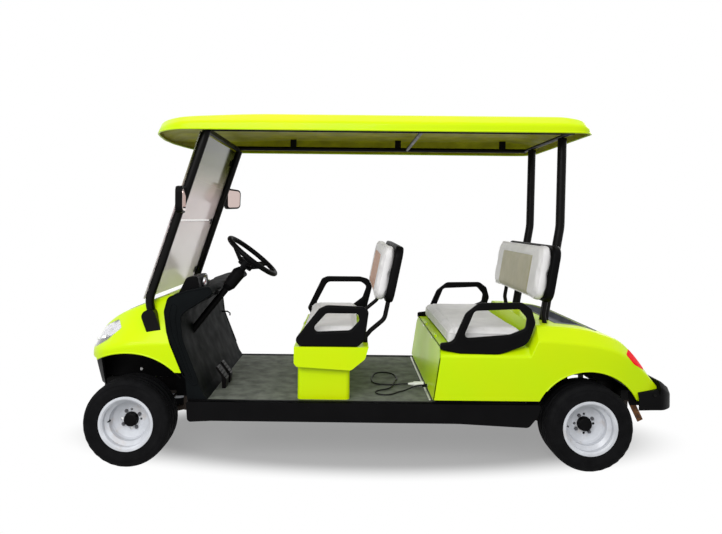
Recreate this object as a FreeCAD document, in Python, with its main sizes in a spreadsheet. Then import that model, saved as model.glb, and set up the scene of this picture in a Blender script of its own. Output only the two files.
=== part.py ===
import FreeCAD, Part
import math
import os
import re

import Sketcher
from FreeCAD import Placement, Rotation, Vector

# Four-seat open golf cart, in millimetres.
# +X forward, +Y to the cart's left, +Z up, origin on the ground under the middle of the cart.

SIZES = {
    # whole cart
    "wheelbase": 2428, "front_overhang": 309, "rear_overhang": 493, "track": 995, "body_half": 580,
    "skin": 5, "seat_gap": 0.3,
    # wheels
    "tyre_radius": 229.5, "tyre_width": 205, "tyre_wall": 9, "bead_radius": 127, "flange_height": 17,
    "rim_half": 98, "rim_sheet": 4, "disc_sheet": 6, "hub_radius": 46, "hub_length": 46, "cap_radius": 33,
    "cap_length": 24, "spindle_radius": 15, "bore_play": 0.05, "stud_circle_radius": 50.8, "stud_radius": 7,
    # axles and steering
    "kingpin_inset": 97.5, "kingpin_radius": 9, "knuckle_radius": 21, "knuckle_height": 58, "arm_back": 130,
    "arm_in": 30, "arm_width": 18, "arm_sheet": 14, "open_eye_radius": 13.5, "tie_rod_radius": 8,
    "tie_eye_radius": 13, "tie_pin_radius": 6, "beam_width": 40, "beam_height": 50, "fork_gap": 0.3,
    "fork_sheet": 14, "axle_radius": 34, "motor_radius": 78, "motor_length": 270, "motor_ahead": 165,
    "gear_case_radius": 92,
    # springs
    "front_reach": 225, "rear_reach": 285, "spring_width": 50, "spring_sheet": 22, "spring_eye": 15,
    "front_spring_low": 160, "rear_spring_low": 152, "front_rise": 50, "rear_rise": 62, "rear_spring_y": 335,
    "damper_radius": 19,
    # chassis
    "rail_y": 230, "rail_width": 50, "rail_height": 76, "rail_kick": 56, "cross_height": 56, "floor_top": 352,
    "floor_sheet": 12, "sill_width": 46, "tow_hole": 9,
    # cowl, dash, windscreen and mirrors
    "cowl_arch": 370, "liner_sheet": 6, "liner_in_y": 262, "dash_sheet": 8, "dash_inset": 20,
    "lens_sheet": 14,
    "glass_sheet": 5, "glass_fold_z": 1290, "strut_inset": 80, "strut_radius": 22.5, "screen_lean": 18.2,
    "strut_foot_z": 868, "strut_top_z": 1779, "mirror_z": 1402, "mirror_width": 116, "mirror_turn_left": 6,
    "mirror_turn_right": 46, "mirror_right_lift": 40,
    # steering wheel
    "column_radius": 19, "wheel_back": 610, "wheel_y": 300, "wheel_z": 1098, "column_lean": 38.4,
    "wheel_rim_radius": 161, "grip_radius": 14, "boss_drop": 62, "boss_radius": 44, "shaft_radius": 9,
    # roof
    "roof_overhang": 20, "roof_low": 1774, "roof_rise": 91, "roof_skin": 6, "roof_rail_radius": 14,
    "rear_strut_y": 300, "rear_strut_radius": 25,
    # seats
    "box_inset": 50, "collar_inset": 5, "box_sheet": 8, "seat_pan_z": 640, "cushion_height": 94,
    "cushion_round": 28, "front_seat_x": 417, "front_seat_length": 342, "rear_seat_length": 440,
    "back_inset": 80, "pad_sheet": 58, "shell_sheet": 46, "back_height": 330, "front_back_x": 14,
    "front_back_z": 866, "front_back_lean": 11.5, "rear_back_z": 872, "rear_back_lean": 9.5, "arm_pad": 34,
    "arm_inset": 23, "hinge_radius": 6, "back_tube_radius": 12.5,
    # rear body
    "rear_arch": 298, "body_low": 368, "battery_length": 400, "battery_height": 230, "battery_half": 360,
    "tray_inset": 180, "tray_sheet": 4,
    # charging lead
    "lead_radius": 4, "plug_radius": 14, "lead_y": 336, "lead_z": 384,
}

# Places worked out from the sizes above.
PLACES = {
    "front_axle_x": "(wheelbase + rear_overhang - front_overhang) / 2",
    "rear_axle_x": "front_axle_x - wheelbase",
    "nose_x": "front_axle_x + front_overhang",
    "tail_x": "rear_axle_x - rear_overhang",
    "wheel_mid_y": "track / 2",
    "kingpin_y": "wheel_mid_y - kingpin_inset",
    "axle_z": "tyre_radius",
    "arm_z": "axle_z + 8",
    "floor_low": "floor_top - floor_sheet",
    "floor_front_x": "front_axle_x - 417",
    "rail_top": "floor_low - seat_gap",
    "rail_low": "rail_top - rail_height",
    "kick_low": "rail_low + rail_kick",
    "kick_top": "rail_top + rail_kick",
    "sill_in_y": "body_half + 10 - sill_width - seat_gap",
    "strut_foot_x": "front_axle_x - 88",
    "strut_y": "body_half - strut_inset",
    "dash_half": "body_half - dash_inset",
    "glass_half": "strut_y + strut_radius - 0.5",
    "wheel_x": "front_axle_x - wheel_back",
    "roof_half": "body_half + roof_overhang",
    "roof_rail_y": "strut_y - 30",
    "roof_top": "roof_low + roof_rise",
    "pan_top": "seat_pan_z + seat_gap",
    "cushion_top": "pan_top + cushion_height",
    "box_half": "body_half - box_inset",
    "collar_half": "body_half - collar_inset",
    "cushion_half": "body_half - box_inset",
    "arm_y": "body_half - arm_inset",
    "back_half": "body_half - back_inset",
    "rear_seat_x": "rear_axle_x + 756",
    "rear_back_x": "rear_axle_x + 274",
    "tray_half": "body_half - tray_inset",
}

doc = FreeCAD.newDocument("GolfCart")
sheet = doc.addObject("Spreadsheet::Sheet", "Sizes")
for row, (word, number) in enumerate(SIZES.items(), 1):
    sheet.set("A%d" % row, word)
    sheet.set("B%d" % row, str(number))
    sheet.setAlias("B%d" % row, word)
doc.recompute()

NODES = {}


def formula(words):
    """Write an expression over the sheet's cells from the plain names of sizes and places."""
    def swap(match):
        word = match.group(0)
        if word in PLACES:
            return "(" + formula(PLACES[word]) + ")"
        return "Sizes." + word if word in SIZES else word
    return re.sub(r"[a-z][a-z_0-9]*", swap, words)


def bind(thing, prop, words):
    thing.setExpression(prop, formula(words))


def place(thing, x="0", y="0", z="0", axis=None, angle=None):
    if axis is not None:
        thing.Placement = Placement(Vector(), Rotation(axis, 10))
        bind(thing, "Placement.Rotation.Angle", angle)
    bind(thing, "Placement.Base.x", x)
    bind(thing, "Placement.Base.y", y)
    bind(thing, "Placement.Base.z", z)
    return thing


def node(name, thing):
    thing.Label = name
    NODES[name] = thing
    return thing


def body(name):
    return doc.addObject("PartDesign::Body", name)


def ring(count):
    """Starting corners of an outline, before its constraints move them."""
    turn = Rotation(Vector(0, 0, 1), 360 / count)
    corners = [Vector(100, 0, 0)]
    for _ in range(count - 1):
        corners.append(turn.multVec(corners[-1]))
    return corners


def sketch(owner, name, role, loops, offset="0"):
    """Closed outlines. Each row of a loop is a corner: across, up and, where it is rounded, its radius."""
    drawing = owner.newObject("Sketcher::SketchObject", name)
    plane = next(part for part in owner.Origin.OriginFeatures if part.Role == role)
    drawing.AttachmentSupport = [(plane, "")]
    drawing.MapMode = "FlatFace"
    bind(drawing, "AttachmentOffset.Base.z", offset)
    rounds = []
    for rows in loops:
        count = len(rows)
        first = drawing.GeometryCount
        corners = ring(count)
        lines = [Part.LineSegment(corners[i], corners[(i + 1) % count]) for i in range(count)]
        drawing.addGeometry(lines, False)
        for i, row in enumerate(rows):
            line = first + i
            drawing.addConstraint(Sketcher.Constraint("Coincident", line, 2, first + (i + 1) % count, 1))
            for kind, words, start in (("DistanceX", row[0], corners[i].x),
                                       ("DistanceY", row[1], corners[i].y)):
                index = drawing.addConstraint(Sketcher.Constraint(kind, -1, 1, line, 1, start))
                bind(drawing, "Constraints[%d]" % index, words)
            if len(row) > 2:
                rounds.append((line, row[2]))
    doc.recompute()
    for line, radius in rounds:
        drawing.fillet(line, 1, 1.0, True, True)
        arc = max(i for i, edge in enumerate(drawing.Geometry) if edge.TypeId == "Part::GeomArcOfCircle")
        index = drawing.addConstraint(Sketcher.Constraint("Radius", arc, 1.0))
        bind(drawing, "Constraints[%d]" % index, radius)
    return drawing


def disc_sketch(owner, name, role, rows, offset="0"):
    """Circles. Each row: across, up, radius."""
    drawing = owner.newObject("Sketcher::SketchObject", name)
    plane = next(part for part in owner.Origin.OriginFeatures if part.Role == role)
    drawing.AttachmentSupport = [(plane, "")]
    drawing.MapMode = "FlatFace"
    bind(drawing, "AttachmentOffset.Base.z", offset)
    for across, up, radius in rows:
        circle = drawing.addGeometry(Part.Circle(Vector(10, 10, 0), Vector(0, 0, 1), 5), False)
        for kind, words in (("DistanceX", across), ("DistanceY", up)):
            index = drawing.addConstraint(Sketcher.Constraint(kind, -1, 1, circle, 3, 10))
            bind(drawing, "Constraints[%d]" % index, words)
        index = drawing.addConstraint(Sketcher.Constraint("Radius", circle, 5))
        bind(drawing, "Constraints[%d]" % index, radius)
    return drawing


def pad(owner, drawing, length, both_ways=True, kind="Pad"):
    feature = owner.newObject("PartDesign::" + kind, drawing.Name + kind)
    feature.Profile = drawing
    feature.Midplane = both_ways
    bind(feature, "Length", length)
    return feature


def side_plate(name, loops, width, y="0"):
    """A plate whose outline is drawn in side view, its thickness shared about y."""
    owner = body(name)
    pad(owner, sketch(owner, name + "Outline", "XZ_Plane", loops), width)
    return place(owner, y=y)


def plan_plate(name, loops, height, z="0"):
    """A plate whose outline is drawn in plan, standing up from z."""
    owner = body(name)
    pad(owner, sketch(owner, name + "Outline", "XY_Plane", loops), height, both_ways=False)
    return place(owner, z=z)


def cross_plate(name, loops, length, x="0"):
    """A plate whose outline is drawn from the front, running forward from x."""
    owner = body(name)
    pad(owner, sketch(owner, name + "Outline", "YZ_Plane", loops), length, both_ways=False)
    return place(owner, x=x)


def turned(name, rows, y="0", x="0", z="0"):
    """A solid turned about an axis along Y. Each row: radius, distance along the axis and round."""
    owner = body(name)
    drawing = sketch(owner, name + "Section", "XY_Plane", [rows])
    spin = owner.newObject("PartDesign::Revolution", name + "Turned")
    spin.Profile = drawing
    spin.ReferenceAxis = (drawing, ["V_Axis"])
    spin.Angle = 360
    return place(owner, x=x, y=y, z=z)


def tube(name, rows, radius, y="0"):
    """A round tube bent in side view. Each row of its centre line: x, z and bend radius."""
    owner = body(name)
    spine = owner.newObject("Sketcher::SketchObject", name + "Line")
    plane = next(part for part in owner.Origin.OriginFeatures if part.Role == "XZ_Plane")
    spine.AttachmentSupport = [(plane, "")]
    spine.MapMode = "FlatFace"
    corners = [Vector(100 * i, 30 * (i % 2), 0) for i in range(len(rows))]
    spine.addGeometry([Part.LineSegment(a, b) for a, b in zip(corners, corners[1:])], False)
    last = len(rows) - 1
    for i, row in enumerate(rows):
        line, end = (i, 1) if i < last else (last - 1, 2)
        if 0 < i < last:
            spine.addConstraint(Sketcher.Constraint("Coincident", i - 1, 2, i, 1))
        for kind, words, start in (("DistanceX", row[0], corners[i].x), ("DistanceY", row[1], corners[i].y)):
            index = spine.addConstraint(Sketcher.Constraint(kind, -1, 1, line, end, start))
            bind(spine, "Constraints[%d]" % index, words)
    doc.recompute()
    for i, row in enumerate(rows):
        if len(row) > 2:
            spine.fillet(i, 1, 1.0, True, True)
            arc = max(k for k, edge in enumerate(spine.Geometry) if edge.TypeId == "Part::GeomArcOfCircle")
            index = spine.addConstraint(Sketcher.Constraint("Radius", arc, 1.0))
            bind(spine, "Constraints[%d]" % index, row[2])
    doc.recompute()
    section = owner.newObject("Sketcher::SketchObject", name + "Section")
    section.AttachmentSupport = [(spine, "Edge1")]
    section.MapMode = "NormalToEdge"
    section.MapPathParameter = 0
    circle = section.addGeometry(Part.Circle(Vector(), Vector(0, 0, 1), 5), False)
    section.addConstraint(Sketcher.Constraint("Coincident", circle, 3, -1, 1))
    index = section.addConstraint(Sketcher.Constraint("Radius", circle, 5))
    bind(section, "Constraints[%d]" % index, radius)
    pipe = owner.newObject("PartDesign::AdditivePipe", name + "Pipe")
    pipe.Profile = section
    pipe.Spine = spine
    return place(owner, y=y)


def rod(name, radius, length, x="0", y="0", z="0", axis=None, angle="90"):
    """A round bar along Z, or along Y or X once it is turned about axis."""
    bar = doc.addObject("Part::Cylinder", name)
    bind(bar, "Radius", radius)
    bind(bar, "Height", length)
    return place(bar, x, y, z, axis, angle)


def cross_rod(name, radius, half, x, z):
    """A round bar along Y, centred on the cart."""
    return rod(name, radius, "2 * (" + half + ")", x, half, z, Vector(1, 0, 0))


def block(name, x0, y0, z0, length, width, height):
    box = doc.addObject("Part::Box", name)
    for prop, words in (("Length", length), ("Width", width), ("Height", height)):
        bind(box, prop, words)
    return place(box, x0, y0, z0)


def joined(name, *pieces):
    fuse = doc.addObject("Part::MultiFuse", name)
    fuse.Shapes = list(pieces)
    fuse.Refine = True
    return fuse


def grouped(name, *pieces):
    group = doc.addObject("Part::Compound", name)
    group.Links = list(pieces)
    return group


def cut(name, base, *tools):
    result = doc.addObject("Part::Cut", name)
    result.Base = base
    result.Tool = tools[0] if len(tools) == 1 else grouped(name + "Tools", *tools)
    return result


def common(name, first, second):
    result = doc.addObject("Part::Common", name)
    result.Base = first
    result.Tool = second
    return result


def mirrored(name, source):
    twin = doc.addObject("Part::Mirroring", name)
    twin.Source = source
    twin.Normal = Vector(0, 1, 0)
    return twin


def pair(name, left):
    return grouped(name, left, mirrored(name + "Right", left))


# ---------------------------------------------------------------------------------------------
# Body forms: lofts through sections across the cart.
# Each station: x, half width at the foot, height of the waist, half width at the top, top height,
# corner radius, and how far its x moves with the inset of the skin's inner face.

ROOF = (
    ("front_axle_x - 44", "roof_half - 520", "roof_low + 8", "roof_half - 540", "roof_low + 22", "4", "-1"),
    ("front_axle_x - 61", "roof_half - 380", "roof_low + 12", "roof_half - 410", "roof_low + 36", "8", "-1"),
    ("front_axle_x - 91", "roof_half - 225", "roof_low + 16", "roof_half - 270", "roof_low + 50", "12", "-1"),
    ("front_axle_x - 146", "roof_half - 108", "roof_low + 22", "roof_half - 156", "roof_low + 62", "16",
     "-1"),
    ("front_axle_x - 206", "roof_half - 44", "roof_low + 30", "roof_half - 92", "roof_low + 68", "20",
     "-0.8"),
    ("front_axle_x - 276", "roof_half - 6", "roof_low + 36", "roof_half - 54", "roof_low + 73", "22", "-0.5"),
    ("front_axle_x - 356", "roof_half", "roof_low + 40", "roof_half - 48", "roof_top - 13", "22", "0"),
    ("560", "roof_half", "roof_low + 44", "roof_half - 48", "roof_top", "24", "0"),
    ("rear_axle_x + 172", "roof_half", "roof_low + 44", "roof_half - 48", "roof_top", "24", "0"),
    ("rear_axle_x + 62", "roof_half - 8", "roof_low + 38", "roof_half - 56", "roof_top - 12", "22", "0.5"),
    ("rear_axle_x + 10", "roof_half - 36", "roof_low + 26", "roof_half - 84", "roof_top - 32", "16", "1"),
    ("rear_axle_x - 16", "roof_half - 84", "roof_low + 14", "roof_half - 120", "roof_low + 36", "8", "1"),
)
COWL = (
    ("front_axle_x - 306", "body_half", "650", "body_half - 110", "905", "24", "-4"),
    ("front_axle_x - 176", "body_half", "650", "body_half - 118", "888", "24", "0"),
    ("front_axle_x - 6", "body_half", "645", "body_half - 140", "825", "24", "-0.4"),
    ("front_axle_x + 104", "body_half - 20", "625", "body_half - 190", "775", "24", "-0.6"),
    ("front_axle_x + 194", "body_half - 84", "600", "body_half - 262", "716", "24", "-0.8"),
    ("front_axle_x + 266", "body_half - 230", "585", "body_half - 380", "655", "20", "-1"),
    ("nose_x", "body_half - 400", "574", "body_half - 470", "606", "12", "-1"),
)
REAR = (
    ("rear_axle_x + 826", "body_half", "598", "body_half - 48", "seat_pan_z", "12", "4"),
    ("rear_axle_x + 310", "body_half", "598", "body_half - 48", "seat_pan_z", "12", "-1"),
    ("rear_axle_x + 271", "body_half", "680", "body_half - 50", "757", "20", "-1"),
    ("rear_axle_x + 29", "body_half", "664", "body_half - 60", "742", "20", "0.1"),
    ("rear_axle_x - 104", "body_half - 4", "640", "body_half - 70", "707", "20", "0.3"),
    ("rear_axle_x - 177", "body_half - 12", "610", "body_half - 80", "678", "20", "0.5"),
    ("rear_axle_x - 248", "body_half - 26", "560", "body_half - 94", "618", "16", "0.9"),
    ("rear_axle_x - 328", "body_half - 44", "490", "body_half - 108", "520", "10", "1"),
    ("rear_axle_x - 376", "body_half - 58", "440", "body_half - 118", "452", "5", "1"),
)
BUMPER = (
    ("rear_axle_x - 263", "body_half - 12", "382", "body_half - 24", "414", "8", "4"),
    ("rear_axle_x - 377", "body_half - 20", "396", "body_half - 34", "426", "8", "-1"),
    ("rear_axle_x - 381", "body_half - 20", "436", "body_half - 42", "470", "10", "-1"),
    ("rear_axle_x - 438", "body_half - 56", "404", "body_half - 84", "436", "10", "1"),
    ("rear_axle_x - 478", "body_half - 120", "384", "body_half - 150", "410", "10", "1"),
    ("tail_x", "body_half - 190", "364", "body_half - 220", "384", "8", "1"),
)


def form(name, stations, low, inset):
    """The solid inside a body form, inset from its outer face."""
    owner = body(name)
    sections = []
    deep = "(" + inset + ")"
    for number, (x, wide, waist, narrow, top, turn, shift) in enumerate(stations):
        foot = low + " - 4 * " + deep
        half, crown = wide + " - " + deep, narrow + " - 0.8 * " + deep
        shoulder, ridge = waist + " - 0.3 * " + deep, top + " - " + deep
        rows = [
            (half, foot), (half, shoulder, turn), (crown, ridge, turn),
            ("-(" + crown + ")", ridge, turn), ("-(" + half + ")", shoulder, turn), ("-(" + half + ")", foot),
        ]
        offset = x + " + (" + shift + ") * " + deep
        sections.append(sketch(owner, "%sSection%d" % (name, number), "YZ_Plane", [rows], offset))
    loft = owner.newObject("PartDesign::AdditiveLoft", name + "Loft")
    loft.Profile = sections[0]
    loft.Sections = sections[1:]
    loft.Ruled = True
    return owner


# ---------------------------------------------------------------------------------------------
# Chassis

# Cross members: x of the middle, half length, underside and width.
CROSS_MEMBERS = (
    ("front_axle_x + 199", "rail_y", "kick_low", "60"),
    ("front_axle_x - 225", "rail_y", "kick_low", "60"),
    ("760", "sill_in_y", "rail_low + 12", "60"),
    ("230", "sill_in_y", "rail_low + 12", "60"),
    ("-270", "sill_in_y", "rail_low + 12", "60"),
    ("rear_axle_x + 382", "sill_in_y", "rail_low + 12", "60"),
    ("rear_axle_x + 247", "rear_spring_y + 27", "kick_low", "96"),
    ("rear_axle_x - 285", "rear_spring_y + 27", "kick_low", "60"),
    ("rear_axle_x - 393", "rail_y", "kick_low", "60"),
)


def chassis():
    rail = side_plate("Rail", [[
        ("front_axle_x + 239", "kick_top"), ("front_axle_x + 239", "kick_low"),
        ("front_axle_x - 256", "kick_low", "30"), ("front_axle_x - 316", "rail_low", "30"),
        ("rear_axle_x + 342", "rail_low", "30"), ("rear_axle_x + 280", "kick_low", "30"),
        ("rear_axle_x - 423", "kick_low"), ("rear_axle_x - 423", "kick_top"),
        ("rear_axle_x + 256", "kick_top", "20"), ("rear_axle_x + 316", "rail_top", "20"),
        ("front_axle_x - 292", "rail_top", "20"),
        ("front_axle_x - 234", "kick_top", "20"),
    ]], "rail_width", y="rail_y")
    beams = [rail, mirrored("RailRight", rail)]
    for number, (x, half, low, width) in enumerate(CROSS_MEMBERS):
        beams.append(block("Cross%d" % number, x + " - " + width + " / 2", "-(" + half + ")", low,
                           width, "2 * (" + half + ")", "cross_height"))
    eye = block("TowTab", "tail_x + 40", "-30", "kick_low + 10", "60", "60", "10")
    hole = rod("TowHole", "tow_hole", "40", "tail_x + 60", "0", "kick_low")
    node("chassis_frame", cut("Frame", joined("FrameBars", eye, *beams), hole))


def floor_and_sills():
    node("floor_pan", block("Floor", "rear_axle_x + 322", "-sill_in_y", "floor_low",
                            "wheelbase - 635", "2 * sill_in_y", "floor_sheet"))
    sill = side_plate("Sill", [[
        ("front_axle_x - 313", "floor_top - 2", "12"), ("front_axle_x - 321", "rail_low - 19", "20"),
        ("front_axle_x - 446", "rail_low - 12", "60"),
        ("rear_axle_x + 692", "rail_low - 15", "900"), ("rear_axle_x + 322", "rail_low - 33", "30"),
        ("rear_axle_x + 272", "rail_low + 28", "50"),
        ("rear_axle_x + 254", "floor_top - 2", "12"),
    ]], "sill_width", y="body_half + 10 - sill_width / 2")
    node("side_sills", pair("Sills", sill))


# ---------------------------------------------------------------------------------------------
# Running gear

# Half of a tyre's section: radius, distance from the middle and corner radius.
TYRE_OUTSIDE = (
    ("bead_radius + seat_gap", "rim_half - 14"), ("bead_radius + 14", "rim_half - 6.8", "3"),
    ("(bead_radius + tyre_radius) / 2", "tyre_width / 2", "30"),
    ("tyre_radius - 9", "tyre_width / 2 - 5", "12"),
    ("tyre_radius", "tyre_width / 2 - 32", "24"),
)


def tyre(name, x, y):
    outside = [row[:2] + row[2:] for row in TYRE_OUTSIDE]
    far = [(row[0], "-(" + row[1] + ")") + row[2:] for row in reversed(TYRE_OUTSIDE)]
    hollow = [
        ("bead_radius + seat_gap", "-(rim_half - 14 - tyre_wall)"),
        ("(bead_radius + tyre_radius) / 2", "-(tyre_width / 2 - tyre_wall)", "20"),
        ("tyre_radius - tyre_wall - 4", "-(tyre_width / 2 - tyre_wall - 10)", "16"),
        ("tyre_radius - tyre_wall - 4", "tyre_width / 2 - tyre_wall - 10", "16"),
        ("(bead_radius + tyre_radius) / 2", "tyre_width / 2 - tyre_wall", "20"),
        ("bead_radius + seat_gap", "rim_half - 14 - tyre_wall"),
    ]
    node(name, turned(name + "Form", outside + far + hollow, y, x, "axle_z"))


def wheel_rows(out):
    """Section of a pressed wheel on its hub; out is 1 where its outer side faces +Y, or -1."""
    rows = (
        ("bead_radius + flange_height", "rim_half", "2"),
        ("bead_radius + flange_height", "rim_half - 5", "1"),
        ("bead_radius", "rim_half - 10"), ("bead_radius", "rim_half - 36"),
        ("bead_radius - 19", "rim_half - 50"),
        ("bead_radius - 19", "12"), ("bead_radius", "-28"), ("bead_radius", "-(rim_half - 10)"),
        ("bead_radius + flange_height", "-(rim_half - 5)", "1"),
        ("bead_radius + flange_height", "-rim_half", "2"),
        ("bead_radius + 4", "-(rim_half - 1)"), ("bead_radius - rim_sheet", "-(rim_half - 9)"),
        ("bead_radius - rim_sheet", "-30"), ("bead_radius - 19 - rim_sheet", "8", "4"),
        ("bead_radius - 27 - rim_sheet", "-disc_sheet / 2 + 4", "6"),
        ("stud_circle_radius + 18", "-disc_sheet / 2 - 4", "8"),
        ("hub_radius", "-disc_sheet / 2 - 4"), ("hub_radius", "-hub_length - 4"),
        ("spindle_radius + bore_play", "-hub_length - 4"), ("spindle_radius + bore_play", "8"), ("0", "8"),
        ("0", "cap_length"), ("cap_radius - 3", "cap_length", "6"), ("cap_radius", "disc_sheet / 2 - 4"),
        ("stud_circle_radius + 18", "disc_sheet / 2 - 4", "8"),
        ("bead_radius - 27 - rim_sheet", "disc_sheet / 2 + 4", "6"),
        ("bead_radius - 19 - rim_sheet", "18"), ("bead_radius - 19 - rim_sheet", "rim_half - 49"),
        ("bead_radius - rim_sheet", "rim_half - 35"), ("bead_radius - rim_sheet", "rim_half - 9"),
        ("bead_radius + 4", "rim_half - 1"),
    )
    return [(row[0], row[1] if out > 0 else "-(" + row[1] + ")") + row[2:] for row in rows]


def wheel(name, x, y, out):
    rim = turned(name + "Form", wheel_rows(out), y, x, "axle_z")
    studs = disc_sketch(rim, name + "Studs", "XZ_Plane", [("stud_circle_radius", "0", "stud_radius")])
    doc.recompute()
    drilled = pad(rim, studs, "60", kind="Pocket")
    doc.recompute()
    pattern = rim.newObject("PartDesign::PolarPattern", name + "StudRing")
    pattern.Originals = [drilled]
    pattern.Axis = (next(line for line in rim.Origin.OriginFeatures if line.Role == "Y_Axis"), [""])
    pattern.Angle = 360
    pattern.Occurrences = 4
    rim.Tip = pattern
    node(name, rim)


WHEELS = (("front_left", "front_axle_x", 1), ("front_right", "front_axle_x", -1),
          ("rear_left", "rear_axle_x", 1), ("rear_right", "rear_axle_x", -1))


def wheels():
    for corner, x, out in WHEELS:
        y = "wheel_mid_y" if out > 0 else "-wheel_mid_y"
        tyre("tyre_" + corner, x, y)
        wheel("rim_" + corner, x, y, out)


def front_axle():
    beam = block("Beam", "front_axle_x - beam_width / 2", "-(kingpin_y - 52)", "axle_z - beam_height / 2",
                 "beam_width", "2 * (kingpin_y - 52)", "beam_height")
    reach = "knuckle_height / 2 + fork_gap"
    fork = cross_plate("Fork", [[
        ("kingpin_y - 56", "axle_z - " + reach + " - fork_sheet"),
        ("kingpin_y + 20", "axle_z - " + reach + " - fork_sheet"),
        ("kingpin_y + 20", "axle_z - (" + reach + ")"),
        ("kingpin_y - knuckle_radius - 8", "axle_z - (" + reach + ")"),
        ("kingpin_y - knuckle_radius - 8", "axle_z + " + reach), ("kingpin_y + 20", "axle_z + " + reach),
        ("kingpin_y + 20", "axle_z + " + reach + " + fork_sheet"),
        ("kingpin_y - 56", "axle_z + " + reach + " + fork_sheet"),
    ]], "24", "front_axle_x - 12")
    pin = rod("Kingpin", "kingpin_radius", "knuckle_height + 2 * fork_gap + 2 * fork_sheet",
              "front_axle_x", "kingpin_y", "axle_z - knuckle_height / 2 - fork_gap - fork_sheet")
    half = joined("ForkAndPin", fork, pin)
    node("front_axle", joined("FrontAxle", beam, half, mirrored("ForkRight", half)))


def knuckle():
    barrel = rod("Barrel", "knuckle_radius", "knuckle_height", "front_axle_x", "kingpin_y",
                 "axle_z - knuckle_height / 2")
    spindle = rod("Spindle", "spindle_radius", "wheel_mid_y - kingpin_y + 6", "front_axle_x",
                  "wheel_mid_y + 6", "axle_z",
                  Vector(1, 0, 0))
    collar = rod("SpindleCollar", "spindle_radius + 7", "wheel_mid_y - kingpin_y - hub_length - 6",
                 "front_axle_x",
                 "wheel_mid_y - hub_length - 6", "axle_z", Vector(1, 0, 0))
    arm = plan_plate("SteeringArm", [[
        ("front_axle_x - 4", "kingpin_y + 15"), ("front_axle_x - 60", "kingpin_y - 8", "16"),
        ("front_axle_x - arm_back", "kingpin_y - arm_in + arm_width / 2"),
        ("front_axle_x - arm_back", "kingpin_y - arm_in - arm_width / 2"),
        ("front_axle_x - 66", "kingpin_y - 32", "16"), ("front_axle_x - 17", "kingpin_y - 7"),
    ]], "arm_sheet", "arm_z - arm_sheet / 2")
    boss = rod("ArmEye", "open_eye_radius + 4.5", "arm_sheet", "front_axle_x - arm_back",
               "kingpin_y - arm_in",
               "arm_z - arm_sheet / 2")
    bore = rod("KingpinBore", "kingpin_radius + bore_play", "knuckle_height + 20", "front_axle_x",
               "kingpin_y",
               "axle_z - knuckle_height / 2 - 10")
    blank = joined("KnuckleBlank", barrel, spindle, collar, arm, boss)
    for side, radius in (("left", "tie_pin_radius + bore_play"), ("right", "open_eye_radius")):
        eye = rod("ArmBore_" + side, radius, "arm_sheet + 20", "front_axle_x - arm_back",
                  "kingpin_y - arm_in",
                  "arm_z - arm_sheet / 2 - 10")
        drilled = cut("Knuckle_" + side, blank, bore, eye)
        node("knuckle_" + side, drilled if side == "left" else mirrored("KnuckleOpposite", drilled))


def tie_rod():
    x, low = "front_axle_x - arm_back", "arm_z + arm_sheet / 2 + seat_gap"
    half = "kingpin_y - arm_in"
    bar = cross_rod("TieBar", "tie_rod_radius", half, x, low + " + 9")
    parts = [bar]
    for side, sign in (("Left", ""), ("Right", "-")):
        y = sign + "(" + half + ")"
        parts.append(rod("TieEye" + side, "tie_eye_radius", "18", x, y, low))
        parts.append(rod("TiePin" + side, "tie_pin_radius", "18 + arm_sheet + 4", x, y,
                         "arm_z - arm_sheet / 2 - 3"))
    node("tie_rod", joined("TieRod", *parts))


def rear_axle():
    casing = cross_rod("AxleTube", "axle_radius", "wheel_mid_y - hub_length - 12", "rear_axle_x", "axle_z")
    shaft = cross_rod("AxleShaft", "spindle_radius", "wheel_mid_y + 6", "rear_axle_x", "axle_z")
    gears = cross_rod("GearCase", "gear_case_radius", "80", "rear_axle_x", "axle_z")
    plate = cross_rod("BackPlates", "gear_case_radius - 6", "wheel_mid_y - hub_length - 16", "rear_axle_x",
                      "axle_z")
    middle = cross_rod("PlateGap", "gear_case_radius + 10", "wheel_mid_y - hub_length - 24", "rear_axle_x",
                       "axle_z")
    motor = rod("Motor", "motor_radius", "motor_length", "rear_axle_x + motor_ahead", "motor_length - 80",
                "axle_z", Vector(1, 0, 0))
    link = block("MotorLink", "rear_axle_x", "-76", "axle_z - 52", "motor_ahead", "60", "104")
    node("rear_axle", joined("RearAxle", casing, shaft, gears, cut("Plates", plate, middle), motor, link))


def leaf_spring(name, x, reach, low, rise, y, saddle_top):
    """A leaf spring with its eyes, clamp and rear shackle."""
    leaf = side_plate(name + "Leaf", [[
        (x + " - " + reach, low + " + " + rise), (x, low, reach + " * 3"),
        (x + " + " + reach, low + " + " + rise),
        (x + " + " + reach, low + " + " + rise + " + spring_sheet"),
        (x, low + " + spring_sheet", reach + " * 3"),
        (x + " - " + reach, low + " + " + rise + " + spring_sheet"),
    ]], "spring_width", y)
    side = y + " + spring_width / 2"
    eye_z = low + " + " + rise + " + spring_sheet / 2"
    pieces = [leaf]
    for tag, sign in (("Front", " + "), ("Rear", " - ")):
        pieces.append(rod(name + "Eye" + tag, "spring_eye", "spring_width", x + sign + reach, side, eye_z,
                          Vector(1, 0, 0)))
        pieces.append(block(name + "Shackle" + tag, x + sign + reach + " - 9", y + " - spring_width / 2",
                            eye_z,
                            "18", "spring_width", "kick_low - seat_gap - (" + eye_z + ")"))
    pieces.append(block(name + "Clamp", x + " - 46", y + " - spring_width / 2 - 6", low + " + 14", "92",
                        "spring_width + 12", saddle_top + " - seat_gap - (" + low + " + 14)"))
    return joined(name, *pieces)


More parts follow.
